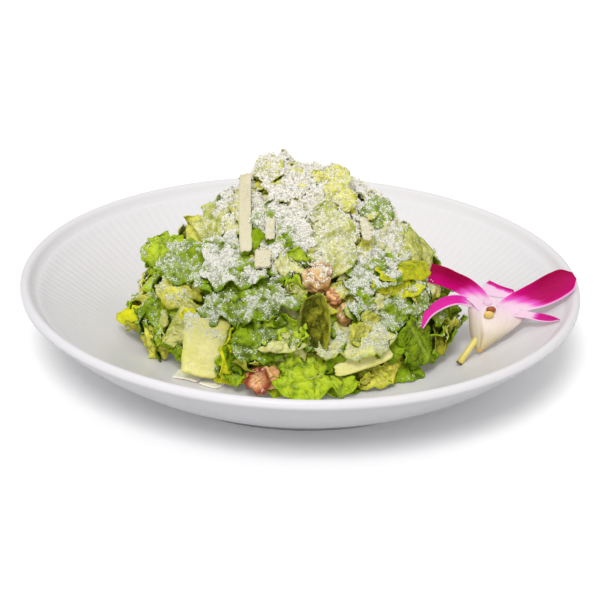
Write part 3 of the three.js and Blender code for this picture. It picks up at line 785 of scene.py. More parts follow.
@dataclass(frozen=True)
class Mound:
    """The heap's bare form, on which every leaf has its place."""

    x: float = -3.0
    y: float = -3.0
    scale_x: float = 1.02
    scale_y: float = 0.8
    heights: tuple[float, ...] = (7, 14, 22, 33, 47, 60, 72, 82, 91, 97, 100)
    radii: tuple[float, ...] = (62, 70, 75, 72, 65, 57, 47, 37, 26, 15, 0)
    slope_span: float = 3.0

    def radius(self, height: float | Array) -> float | Array:
        """Radius at a height, before the two scales."""
        return np.interp(height, self.heights, self.radii)

    def slope(self, height: float) -> float:
        """Elevation of the outward normal at a height, in degrees."""
        fall = self.radius(height - self.slope_span) - self.radius(height + self.slope_span)
        return math.degrees(math.atan2(fall, 2 * self.slope_span))

    def place(self, azimuth: float, height: float, out: float) -> Array:
        """A place on the mound, moved out from its surface."""
        radius = self.radius(height) + out
        angle = math.radians(azimuth)
        return np.array([
            self.x + self.scale_x * radius * math.cos(angle),
            self.y + self.scale_y * radius * math.sin(angle),
            height,
        ])


MOUND = Mound()


@dataclass
class LeafPiece:
    """One torn piece of romaine: where it lies, how it is held, and its shape."""

    name: str
    tissue: Tissue
    azimuth: float
    height: float
    out: float
    turn: float
    tilt: float
    spin: float
    length: float
    width: float
    snow: float = 0.5
    bend: float = 0.0
    cup: float = 0.0
    ruffle: float = 0.0
    waves: float = 1.5
    skew: float = 0.0
    thickness: float = 0.4
    power: float = 3.0
    blunt: float = 0.45
    tear: float = 0.13
    wobble: float = 0.8
    crinkle: float = 1.5
    frill: float = 1.2
    tone: float = 0.5
    midrib: float = 0.0
    crest: float = 0.0
    # painted shade across the piece: dark on one side and light on the other, by this much
    side_tone: float = 0.0
    seed: int = 1

    def frame(self) -> tuple[Array, Array, Array, Array]:
        """The piece's centre and its along, across and face directions."""
        angle, tilt, spin = (math.radians(a) for a in (self.azimuth + self.turn, self.tilt, self.spin))
        face = np.array([math.cos(angle) * math.cos(tilt), math.sin(angle) * math.cos(tilt), math.sin(tilt)])
        upright = unit(np.array([0, 0, 1.0]) - face * face[2])
        along = upright * math.cos(spin) + np.cross(face, upright) * math.sin(spin)
        return MOUND.place(self.azimuth, self.height, self.out), along, np.cross(along, face), face

    def sheet(self, rows: int, columns: int) -> tuple[Array, Array, Array, Array]:
        """The wavy sheet of the piece.

        Args:
            rows: steps along it.
            columns: steps across it.

        Returns:
            Its grid of places, and the u, v and relief of each.
        """
        u, v = uv_grid(rows, columns)
        side, middle = np.where(v > 0, 1.0, -1.0), 2 * u - 1
        end = np.abs(middle) ** 3 * np.sign(middle)
        torn_end = np.sin(2.7 * v + self.seed) + 0.9 * lattice(2.2 * v, np.sign(middle), self.seed + 0.3)
        torn_end = torn_end + 0.6 * lattice(self.width * v / 3.5, np.sign(middle), self.seed + 0.6)
        run = 0.5 * self.length * self.tear * end * torn_end
        round_end = np.sqrt(np.maximum(0, 1 - np.abs(middle) ** self.power))
        ragged = np.sin(8.2 * u + self.seed + 2 * side) + 0.6 * np.sin(18 * u + 2 * self.seed - side)
        notches = 1.1 * lattice(u * self.length / 5, side, self.seed)
        notches = notches + 0.75 * lattice(u * self.length / 2.0, side, self.seed + 1)
        half = 0.5 * self.width * (self.blunt + (1 - self.blunt) * round_end) * (1 + self.skew * middle)
        half = half * (1 + self.tear * (0.6 * ragged + notches) * np.abs(v) ** 1.5)
        wave = 2 * math.pi * self.waves * u + 1.7 * self.seed + 1.1 * side
        spread, rise = cupped(half, v, self.cup)
        spread = spread + 0.35 * self.ruffle * v * np.abs(v) * np.cos(wave + 0.8)
        rise = rise + self.ruffle * v * v * np.sin(wave)
        rise = rise + self.wobble * np.sin(4.3 * u + 2.1 * v + 2.3 * self.seed)
        fine, relief = self.fine_relief(u, v, side)
        places = bent(self.frame(), (self.length, self.bend), u, (run, spread, rise + fine))
        return places, u, v, relief

    def fine_relief(self, u: Array, v: Array, side: Array) -> tuple[Array, Array]:
        """Blisters between creases, and an uneven frill at the edge.

        Args:
            u: places along, 0 to 1.
            v: places across, -1 to 1.
            side: which side of the midrib.

        Returns:
            The height in millimetres, and how high on a blister each place is, 0 to 1.
        """
        x, y = u * self.length, v * self.width / 2
        blister = creased(x / 5.0, y / 5.0, self.seed) + 0.55 * creased(x / 2.3, y / 2.3, self.seed + 3)
        fine = 0.16 * lattice(x / 1.1, y / 1.1, self.seed + 7)
        edge = 1.4 * lattice(x / 4.5, side, self.seed + 4) + 0.9 * lattice(x / 2.0, side, self.seed + 6)
        folds = 1.3 * creased(x / 11, y / 11, self.seed + 8)
        height = self.crinkle * (blister + fine + folds - 1.2) * (1 - 0.3 * np.abs(v))
        return height + self.frill * edge * np.abs(v) ** 3, np.clip(blister / 1.1, 0, 1)

    def fill(self, shell: Shell, step: float) -> None:
        """Adds the piece to a shell, with the values that its finish reads.

        Args:
            shell: collects the pieces of one tissue.
            step: the grid's step, in millimetres.
        """
        rows, columns = max(8, round(self.length / step)), max(6, round(self.width / step))
        sheet, u, v, relief = self.sheet(rows, columns)
        thick = self.thickness * (1 + self.midrib * np.exp(-((v / 0.16) ** 2)))
        points, faces = thicken(sheet, thick)
        edge = np.maximum(np.abs(v), np.abs(2 * u - 1) ** 2)
        way = 2.4 * self.seed
        drift = 0.22 * (math.cos(way) * (2 * u - 1) + math.sin(way) * v)
        drift = drift + 0.18 * lattice(3 * u, 3 * v, self.seed)
        values = {
            "along": u * self.length, "across": v * self.width / 2, "edge": edge, "relief": relief,
            # the across term paints shade, dark on one side and light on the other
            "tone": self.tone + drift + self.side_tone * v,
            "ribbed": min(self.midrib, 1) * np.exp(-((v / 0.1) ** 2)),
        }
        both = {key: np.concatenate([value.ravel()] * 2) for key, value in values.items()}
        amount = np.tile((self.snow + self.crest * smooth(0.5, 0.8, u)).ravel(), 2)
        shell.add(points, faces, **both, amount=amount, piece=3.7 * self.seed)


def rib(name: str, *place: float, **more: float) -> LeafPiece:
    """A thick pale piece of midrib, with the numbers of its place and size in the leaves' order."""
    shape = {"thickness": 3.0, "power": 14.0, "blunt": 0.88, "tear": 0.02, "wobble": 0.2, "crinkle": 0.08,
             "frill": 0.05, **more}
    return LeafPiece(name, Tissue.RIB, *place, **shape)


HEART, PALE, LIME, BRIGHT, GREEN, OLIVE, _RIB = Tissue
L = LeafPiece

# The pieces of romaine of the front, the sides and the top, from left to right:
# azimuth, height and out; turn, tilt and spin; length and width.
LEAVES: list[LeafPiece] = [
    L("far_lime", LIME, -163, 27, -1, 10, 40, 120, 32, 11, 0.05, cup=-110, bend=25, tone=1.0),
    L("far_olive", OLIVE, -157, 21, -2, 20, 5, 85, 22, 8, 0.2, cup=-40),
    L("left_lobe", HEART, -152, 17, -2, 50, -5, -155, 17, 11, 0.1, cup=-30, bend=35),
    L("left_green", GREEN, -145, 31, -5, 30, 25, 45, 24, 17, 0.5, ruffle=1.6),
    L("left_cream", HEART, -142, 45, -1, 35, 40, 65, 21, 15, 0.8, cup=-30, bend=25),
    L("lean_strip", PALE, -135, 33, -3, 30, 5, 155, 25, 9, 0.25, cup=-25, thickness=1.6, power=14.0,
      blunt=0.88, tear=0.02, wobble=0.2, crinkle=0.2, frill=0.1, tone=0.3),
    rib("front_rib", -122, 27, -0.6, 27, 4, -8, 28, 18.5, thickness=3.0, cup=-14, skew=0.13, snow=0.25,
        crest=1.3, frill=0.25, crinkle=0.25),
    L("rib_leaf", LIME, -112, 26, -2, 50, 5, -15, 24, 9, 0.1, bend=20, ruffle=1.2),
    L("rib_tuft", LIME, -128, 38, 2, 35, 20, 30, 11, 8, 0.1, bend=40),
    L("low_lime", LIME, -112, 13, -5, 20, 50, 95, 20, 10, 0.1, bend=-15),
    L("big_dark", GREEN, -109, 53, 1, 5, 45, 105, 40, 27, 0.9, cup=-55, bend=-12, ruffle=3.6, waves=3.2,
      frill=1.7, tone=0.25),
    L("upper_blue", GREEN, -119, 64, 0, 15, 50, 90, 32, 25, 1.15, cup=-30, ruffle=2.5, waves=2.6),
    L("mid_curl", GREEN, -101, 34, -2, 10, 25, 105, 28, 20, 0.45, ruffle=3.4, waves=3.0, frill=1.7,
      tone=-0.1),
    L("cream_curl", PALE, -93, 32, 0.8, 0, 40, -84, 20, 5.5, 0.6, cup=50, ruffle=0.8, tone=0.5),
    L("fold_dark", GREEN, -109, 26, -3.5, 25, 15, -175, 19, 14, 0.0, cup=90, tone=-0.6),
    L("low_band", BRIGHT, -102, 19, -4, 5, 50, -85, 32, 13, 0.2, ruffle=2, waves=2.2, frill=1.5),
    L("front_curly", BRIGHT, -82, 19, -1, 0, 35, 90, 33, 22, 0.12, ruffle=3.4, waves=3, frill=2.2,
      crinkle=2.6, tone=0.45),
    L("front_low", BRIGHT, -86, 11, 0, 5, 55, 85, 34, 14, 0.05, ruffle=2.6, waves=2.6, frill=2, crinkle=2,
      tone=0.45),
    # the olive cup has painted shade across it, dark on one side and light on the other
    L("olive_cup", OLIVE, -81, 40, -2, -24, 10, 4, 29, 17, 0.0, cup=115, crinkle=0.5, frill=0.6, tear=0.06,
      power=2.4, blunt=0.3, tone=-0.35, side_tone=1.3),
    L("small_cup", BRIGHT, -93.5, 37, -2.5, -5, 22, 88, 21, 17, 0.2, cup=75, bend=-15, ruffle=1.4,
      waves=2.2, tone=0.5),
    L("green_edge", PALE, -92, 54, -2, -10, 15, 10, 30, 18, 0.5, cup=-45, ruffle=1.8),
    L("right_snow", GREEN, -48, 47, -2, -5, 35, -112, 41, 28, 1.0, cup=-30, ruffle=1.8, waves=1.8),
    L("right_snow_top", GREEN, -53, 60, 0, -20, 45, -85, 26, 18, 1.0, ruffle=1.6),
    L("lime_pair_top", LIME, -36.5, 58, 2.0, -2, 52, -104, 30, 11, 0.0, cup=-70, crinkle=0.5, tear=0.05,
      frill=0.5, tone=0.1),
    L("lime_pair_low", LIME, -42, 53.5, 0.5, -7, 40, -106, 27, 12, 0.2, cup=-40, ruffle=0.6, crinkle=0.6,
      frill=0.6, tone=0.1),
    L("right_back_green", GREEN, -10, 31, -6, -60, 25, -100, 19, 15, 0.3, ruffle=1.4, tone=0.3),
    # this one has a little painted shade across it too
    L("rib_edge_left", GREEN, -41, 27.5, 0.6, 2, 10, -152, 25, 19, 0.0, cup=-95, crinkle=0.25, tear=0.04,
      wobble=0.0, frill=0.3, tone=0.5, side_tone=-0.3, midrib=0.9),
    L("rib_edge_right", GREEN, -33, 25, -3, 5, 15, -160, 25, 11, 0.05, cup=-50, crinkle=0.6, tone=-0.3),
    L("olive_right", OLIVE, -22, 22, -3, -35, 15, 170, 17, 10, 0.0, cup=60, crinkle=0.5, tear=0.05,
      tone=0.1),
    L("olive_end", OLIVE, -14, 24, -5, -25, 30, 160, 12, 9, 0.0, cup=40),
    rib("low_slab", -65, 24, -1.2, -5, 30, -77, 28, 8, cup=-8, tear=0.02, crinkle=0.1, skew=0.15,
        thickness=2.2, snow=0.4, power=3.0, blunt=0.5),
    L("cream_piece", PALE, -67, 34, -1, -10, 50, -85, 32, 19, 1.0, ruffle=1.8, waves=2.2, tone=0.5),
    L("low_yellow", HEART, -57, 15, -2, -15, 10, 105, 21, 13, 0.0, cup=60, tone=-0.25),
    L("gap_right", GREEN, -52, 28, -3.5, -5, 25, -60, 18, 14, 0.3, ruffle=1.4, tone=0.1),
    L("low_green", GREEN, -62, 11, -2, -5, 45, 90, 24, 14, 0.4, ruffle=2),
    L("right_low_green", GREEN, -45, 14, -2, -15, 35, -100, 22, 15, 0.5, ruffle=2.2, waves=2),
    L("top_yellow", HEART, -50, 90, -3, -40, 46, 20, 22, 21, 0.42, cup=-60, bend=35, tone=0.4),
    L("peak", HEART, -145, 96.5, -1, 20, 60, 35, 17, 14, 0.7, cup=-40, bend=30, ruffle=1.5),
    L("peak_mid", HEART, -85, 86, -6, -10, 50, 10, 24, 19, 0.9, cup=-30, bend=30, ruffle=1.5),
    L("tall_pale", PALE, -70, 73, -1, -15, 35, 0, 31, 23, 0.5, cup=-32, bend=12, ruffle=1.4, tone=0.0),
    L("centre_snow", GREEN, -97, 76, -1, 5, 35, 5, 31, 26, 1.0, cup=-30, bend=12, ruffle=2),
    L("top_dark", GREEN, -20, 78, -3, -30, 40, -85, 18, 12, 0.5, ruffle=1.2),
    L("right_pale", PALE, -25, 68, -5, -20, 42, -20, 29, 19, 0.9, cup=-30, bend=12, ruffle=1.6),
    L("right_lobe_in", PALE, -16, 60, -3, -40, 40, -10, 19, 12, 0.15, cup=-50, bend=15, tone=-0.5),
    L("right_lobe_out", PALE, -8, 54, -4, -50, 30, -12, 20, 16, 0.0, cup=-50, bend=15, crinkle=0.5,
      tear=0.04, frill=0.4, power=2.2, blunt=0.2, tone=-0.6),
    L("frill_top", BRIGHT, -169, 53.5, -3, 25, 35, 85, 30, 18, 0.15, ruffle=2.8, waves=2.4, frill=1.7,
      tone=0.35),
    L("frill_low", BRIGHT, -164, 42, -7, 20, 20, 90, 30, 17, 0.35, ruffle=2.4, waves=2.2, frill=1.7,
      tone=0.4),
    L("left_blue", GREEN, -143, 59, 0, 15, 50, 95, 30, 23, 0.5, cup=-25, ruffle=1.8, waves=1.8),
    L("upper_left", PALE, -147, 71.5, -7, 15, 40, 85, 26, 18, 0.25, cup=-35, ruffle=1.4, tone=0.05),
    L("left_step", HEART, -163, 62, -8, 10, 40, 80, 24, 19, 0.2, cup=-35, ruffle=1.4, tone=0.3),
    L("behind_shaving", HEART, -132, 82, -6, 20, 50, 60, 20, 16, 0.7, cup=-25, ruffle=1.4),
    L("green_fold", GREEN, -110.5, 73, 1.5, 10, 10, -10, 10, 8, 0.0, cup=-100, tone=0.7),
    L("crown_front", HEART, -105, 93, -4, 0, 62, 20, 22, 20, 1.0, cup=-30, bend=24),
    L("crown_back", HEART, 60, 88, -11, 0, 75, 20, 24, 20, 1.0, cup=-30, bend=24),
    L("crown_left", PALE, 170, 92, -10, 0, 62, 60, 20, 18, 1.0, cup=-30, bend=24),
    L("crown_right", HEART, -30, 84, -9, 0, 60, -40, 22, 18, 1.0, cup=-30, bend=24),
    L("crown_mid", PALE, -60, 88, -9, 0, 62, 10, 18, 18, 0.9, cup=-30, bend=24),
    L("left_fill", PALE, -150, 78, -9, 10, 46, 20, 22, 18, 0.8, cup=-30, bend=20, ruffle=1.2, tone=0.3),
    L("crown_fill", PALE, 15, 82, -8, 0, 60, -20, 24, 20, 1.0, cup=-30, bend=24),
    L("lime_curl", BRIGHT, -88, 65, 0.5, 5, 18, -15, 15, 12, 0.05, cup=-75, ruffle=1.8, waves=2.4,
      frill=1.6, tone=0.25),
    L("lime_curl_low", BRIGHT, -88.5, 54, -0.5, 0, 5, 20, 16, 9, 0.1, cup=-60, ruffle=1.6, waves=2.2,
      frill=1.6, tone=0.5),
]


@dataclass(frozen=True)
class Scatter:
    """A rule for small leaves all round the heap: how many, which sorts, and between which values."""

    name: str
    seed: int
    first: int
    count: int
    rise: float
    low_sorts: tuple[Tissue, ...]
    high_sorts: tuple[Tissue, ...]
    crown_sorts: tuple[Tissue, ...]
    out: Span
    turn: float
    tilt: Span
    length: Span
    width: Span
    snow: Span
    drawn: dict[str, Span]
    fixed: dict[str, float] = field(default_factory=dict)
    power: float = 1.0
    phase: float = 0.0
    sunk: float = 1.0
    shrink: float = 0.0
    spares_smooth: bool = False


# leaves that lie close on the core and close the gaps between the others
SNUG = Scatter(
    "snug", 23, 120, 104, 82.0,
    (GREEN, BRIGHT, GREEN, HEART, GREEN, PALE, OLIVE), (HEART, GREEN, PALE, HEART, PALE),
    (HEART, GREEN, PALE, HEART, PALE),
    out=(-5.5, -2.5), turn=22, tilt=(-22, 10), length=(19, 30), width=(13, 21), snow=(0.4, 0.6),
    drawn={"bend": (-10, 35), "cup": (-60, 25), "ruffle": (0.8, 2.2), "waves": (1.4, 2.6),
           "tone": (0.1, 0.9)},
    power=0.95, shrink=0.2)
# small torn bits that lie on the large leaves
CHIPS = Scatter(
    "chip", 41, 220, 150, 80.0,
    (GREEN, HEART, BRIGHT, PALE, GREEN, HEART), (PALE, HEART, GREEN, HEART, PALE), (PALE, HEART),
    out=(-2.0, 0.8), turn=30, tilt=(-20, 18), length=(8, 16), width=(6, 11), snow=(0.45, 0.5),
    drawn={"bend": (-20, 60), "cup": (-90, 50), "ruffle": (0.3, 1.4), "waves": (1.0, 2.0),
           "blunt": (0.4, 0.75), "tone": (0.1, 0.9)},
    fixed={"tear": 0.16, "crinkle": 1.0}, phase=0.21, sunk=0.9, spares_smooth=True)


@dataclass
class RomaineHeap:
    """The heap: its core, the listed leaves, and the leaves laid by rule."""

    grid_step: float = 0.9
    quick_step: float = 1.1
    core_inset: float = 6.5
    core_sides: int = 96
    core_rings: int = 34
    core_heights: Span = (8.5, 86)
    core_floor: float = 7.6
    core_top: float = 88.0
    back_seed: int = 11
    back_count: int = 18
    back_start: float = -6.0
    back_span: float = 192.0
    back_low: float = 14.0
    back_high: float = 86.0
    low: float = 12.0
    pale_above: float = 58.0
    crown_above: float = 80.0
    lean_share: float = 0.35
    root: float = 8.0
    golden_turn: float = 0.618034
    sink_heights: tuple[float, ...] = (14, 33, 50, 60, 72, 90)
    sink_depths: tuple[float, ...] = (1, 1.5, 2.5, 3, 4, 4.5)
    left_sink: float = 7.0
    side_sink: float = 2.5
    right_drop: float = 12.0
    bare_places: tuple[Span, ...] = ((-41, 28), (-82, 40), (-122, 28), (-93, 34), (-67, 26))
    bare_reach: float = 13.0
    pieces: list[LeafPiece] = field(default_factory=list)

    def sink(self, azimuth: float, height: float) -> float:
        """How far the leaves laid by rule stay inside the mound, more near the top and on the left."""
        left = max(0.0, -math.cos(math.radians(azimuth))) * float(smooth(36, 52, np.array(height)))
        side = abs(math.cos(math.radians(azimuth))) ** 1.5 * float(smooth(52, 66, np.array(height)))
        deep = float(np.interp(height, self.sink_heights, self.sink_depths))
        return deep + self.left_sink * left + self.side_sink * side

    def crown(self, azimuth: float, height: float) -> float:
        """The height of a leaf laid by rule: the top of the heap is lower on its right."""
        right = max(0.0, math.cos(math.radians(azimuth - 50)))
        return height - self.right_drop * right * float(smooth(72, 90, np.array(height)))

    def bare(self, azimuth: float, height: float) -> bool:
        """Whether a place lies on one of the smooth leaves that stay free of small bits."""
        here = MOUND.place(azimuth, height, 0)
        away = (np.linalg.norm(here - MOUND.place(*place, 0)) for place in self.bare_places)
        return min(away) < self.bare_reach

    def lay_leaves(self) -> None:
        """Collects every leaf: listed in front, by rule round the back and between."""
        for number, piece in enumerate(LEAVES):
            self.pieces.append(replace(piece, seed=number + 1))
        self.pieces += self.back_leaves() + self.scattered(SNUG) + self.scattered(CHIPS)

    def back_leaves(self) -> list[LeafPiece]:
        """Loose leaves round the back, where they peel away from the mound."""
        draw = RandomSource(self.back_seed)
        sorts = (GREEN, HEART, PALE, BRIGHT, GREEN, PALE)
        leaves = []
        for number in range(self.back_count):
            part = (number + 0.5) / self.back_count
            height = self.back_low + (self.back_high - self.back_low) * part
            azimuth = self.back_start + self.back_span * ((number * self.golden_turn) % 1)
            height = self.crown(azimuth, height)
            shrink = 1 - 0.25 * part
            length, width = draw(31, 42) * shrink, draw(21, 29) * shrink
            lean = draw(12, 36) * (1 - 0.6 * part)
            out = self.lean_share * length * math.sin(math.radians(lean)) - self.root
            out = out - self.sink(azimuth, height) * 0.8
            turn, tilt, spin = draw(-25, 25), MOUND.slope(height) - lean, draw(-45, 45)
            cup, bend, ruffle, waves = draw(-50, 35), draw(-10, 30), draw(0.8, 2.4), draw(1.4, 2.4)
            tissue = sorts[number % len(sorts)]
            leaves.append(LeafPiece(
                f"back_{number}", tissue, azimuth, height, out, turn, tilt, spin, length, width,
                0.35 + 0.6 * part, bend=bend, cup=cup, ruffle=ruffle, waves=waves, seed=60 + number,
                frill=1.6 if tissue is BRIGHT else 0.9, tone=(number * 0.37) % 1))
        return leaves

    def scattered(self, rule: Scatter) -> list[LeafPiece]:
        """The small leaves of one rule, from the foot of the heap to its top."""
        draw = RandomSource(rule.seed)
        leaves = []
        for number in range(rule.count):
            part = (number + 0.5) / rule.count
            height = self.low + rule.rise * part ** rule.power
            level = (height > self.pale_above) + (height > self.crown_above)
            sorts = (rule.low_sorts, rule.high_sorts, rule.crown_sorts)[level]
            azimuth = 360 * ((number * self.golden_turn + rule.phase) % 1)
            height = self.crown(azimuth, height)
            if rule.spares_smooth and self.bare(azimuth, height):
                continue
            shrink = 1 - rule.shrink * part
            leaves.append(LeafPiece(
                f"{rule.name}_{number}", sorts[number % len(sorts)], azimuth, height,
                draw(*rule.out) - rule.sunk * self.sink(azimuth, height), draw(-rule.turn, rule.turn),
                MOUND.slope(height) + draw(*rule.tilt), draw(-180, 180),
                draw(*rule.length) * shrink, draw(*rule.width) * shrink,
                rule.snow[0] + rule.snow[1] * part, seed=rule.first + number,
                **{name: draw(*span) for name, span in rule.drawn.items()}, **rule.fixed))
        return leaves

    def core(self) -> tuple[Array, Array]:
        """A dark lumpy core just under the leaves."""
        heights = np.linspace(*self.core_heights, self.core_rings)
        sunk = np.interp(heights, self.sink_heights, self.sink_depths) * 1.1
        rings = zip((MOUND.radius(heights) - self.core_inset - sunk).tolist(), heights.tolist())
        points, faces = lathe_shell([(0.0, self.core_floor), *rings, (0.0, self.core_top)], self.core_sides)
        bumps = 1.6 * waves_noise(points, 22, 1.0) + 0.8 * waves_noise(points, 9, 4.0)
        radius = np.maximum(np.hypot(points[:, 0], points[:, 1]), 1.0)
        scale = 1 + bumps / radius * (radius > 2)
        points[:, 0] = MOUND.x + points[:, 0] * scale * MOUND.scale_x
        points[:, 1] = MOUND.y + points[:, 1] * scale * MOUND.scale_y
        return points, faces

    def build(self, effects: Effects) -> list[Object]:
        """Builds the core and one piece for each tissue."""
        self.lay_leaves()
        shell = Shell()
        shell.add(*self.core(), tone=0.5)
        core = shell.build("romaine_core")
        skin = replace(GREEN.value, name="romaine_core", dressing=0.1)
        finish_piece(core, skin.build(effects), ("salad_heap",))
        built = []
        for tissue in Tissue:
            shell = Shell()
            for piece in self.pieces:
                if piece.tissue is tissue:
                    piece.fill(shell, self.grid_step)
            leaves = shell.build(tissue.value.name)
            finish_piece(leaves, tissue.value.build(effects), ("salad_heap",))
            built.append(leaves)
        return built


# ------------------------------------------------------------------ plate


@dataclass
class Plate:
    """The deep coupe plate, with fine radial flutes round the inside of its wall."""

    radius: float = 130.0
    height: float = 40.0
    foot_radius: float = 80.0
    foot_inner: float = 75.0
    foot_height: float = 2.2
    floor_height: float = 7.0
    wall_bulge: float = 2.9
    sides: int = 1080
    flutes: int = 154
    flute_depth: float = 0.2
    flute_start: float = 86.0
    flute_end: float = 123.5
    flute_rise: float = 12.0
    flute_fall: float = 3.0
    inside: tuple[Span, ...] = (
        (0, 7), (30, 7), (60, 7), (70, 7.8), (80, 10.2), (90, 15), (100, 21), (110, 27.5), (118, 32.5),
        (123, 36.5))

    def inside_height(self, radius: Array) -> Array:
        """Height of the inner surface at a radius, rounded where its slope changes."""
        table = np.array(self.inside, float)
        spread = np.linspace(-4, 4, 9)
        weight = 1 - np.abs(spread) / 5
        samples = [np.interp(np.abs(radius + shift), table[:, 0], table[:, 1]) for shift in spread]
        return np.average(samples, axis=0, weights=weight)

    def profile(self) -> list[Span]:
        """The plate's section from the middle of its underside to the middle of its floor."""
        rows = [(0.0, self.foot_height), (40.0, self.foot_height), (self.foot_inner - 1.2, self.foot_height)]
        rows += [(self.foot_inner - 0.3, 1.6), (self.foot_inner + 0.4, 0.35), (self.foot_inner + 1.2, 0.0)]
        rows += [(self.foot_radius - 0.9, 0.0), (self.foot_radius - 0.1, 0.5), (self.foot_radius + 0.4, 1.6)]
        start, end = np.array([self.foot_radius + 2, 3.0]), np.array([self.radius - 0.3, self.height - 4])
        run = end - start
        sideways = np.array([run[1], -run[0]]) / np.linalg.norm(run)
        for part in np.linspace(0, 1, 16):
            rows.append(tuple(start + run * part + sideways * self.wall_bulge * math.sin(math.pi * part)))
        rows += [(self.radius - 0.02, self.height - 2.6), (self.radius - 0.1, self.height - 1.5)]
        rows += [(self.radius - 0.6, self.height - 0.6), (self.radius - 1.5, self.height - 0.08)]
        rows += [(self.radius - 2.6, self.height - 0.05), (self.radius - 3.8, self.height - 0.6)]
        rows += [(self.radius - 5.0, self.height - 1.7)]
        for radius in np.concatenate([np.linspace(123.5, 84, 26), np.linspace(81, 58, 9), [45, 30, 15]]):
            rows.append((float(radius), float(self.inside_height(np.array(radius)))))
        return rows + [(0.0, self.floor_height)]

    def flute_tree(self) -> Tree:
        """Geometry nodes that press the flutes into the inner wall."""
        graph, entry = new_tree(
            "Geometry", "press_flutes",
            {"Geometry": ("Plate",), "Float": ("Flutes", "Depth", "Start", "End"), "Material": ("Glaze",)},
            {"Geometry": ("Plate",)})
        x, y, _height = graph.parts(graph.wire("GeometryNodeInputPosition"))
        radius = graph.math("SQRT", x * x + y * y)
        turn = graph.math("ARCTAN2", y, x)
        wave = graph.math("ABSOLUTE", graph.math("SINE", turn * (entry["Flutes"] * 0.5)))
        starts = graph.ramp(radius, entry["Start"], entry["Start"] + self.flute_rise * MM)
        ends = graph.ramp(radius, entry["End"] - self.flute_fall * MM, entry["End"], 1.0, 0.0)
        upward = graph.parts(graph.wire("GeometryNodeInputNormal"))[2]
        above = graph.math("GREATER_THAN", upward, 0.2)
        press = starts * ends * (above * graph.math("POWER", wave, 0.7))
        shift = graph.vector(z=press * entry["Depth"])
        moved = graph.wire("GeometryNodeSetPosition", {"Geometry": entry["Plate"], "Offset": shift})
        whole = graph.wire("GeometryNodeRealizeInstances", {0: moved})
        dressed = graph.wire("GeometryNodeSetMaterial", {"Geometry": whole, "Material": entry["Glaze"]})
        return graph.close({"Plate": dressed})

    def build(self) -> Object:
        """Builds and dresses the plate."""
        shell = Shell()
        shell.add(*lathe_shell(self.profile(), self.sides))
        plate = shell.build("coupe_plate")
        glaze = GlazeFinish().build()
        apply_nodes(plate, self.flute_tree(), {
            "Flutes": float(self.flutes), "Depth": self.flute_depth * MM, "Start": self.flute_start * MM,
            "End": self.flute_end * MM, "Glaze": glaze})
        finish_piece(plate, glaze, ("plate",))
        return plate


def apply_nodes(piece: Object, tree: Tree, inputs: dict[str, object]) -> None:
    """Runs geometry nodes on a piece and keeps the result as its plain mesh.

    Args:
        piece: the object, whose mesh is replaced.
        tree: the geometry nodes.
        inputs: a value for each named input.
    """
    modifier = piece.modifiers.new(tree.name, "NODES")
    modifier.node_group = tree
    for item in tree.interface.items_tree:
        if item.item_type == "SOCKET" and item.in_out == "INPUT" and item.name in inputs:
            modifier[item.identifier] = inputs[item.name]
    bpy.context.view_layer.update()
    graph = bpy.context.evaluated_depsgraph_get()
    mesh = bpy.data.meshes.new_from_object(piece.evaluated_get(graph), depsgraph=graph)
    piece.modifiers.remove(modifier)
    piece.data = mesh


# ------------------------------------------------------------------ grated cheese


@dataclass(frozen=True)
class Grating:
    """One cut of grated cheese: its size in millimetres, how many, and how they lie."""

    name: str
    length: float
    width: float
    steps: int
    count: int
    stand: float
    curl: float
    seed: int
    pile: float


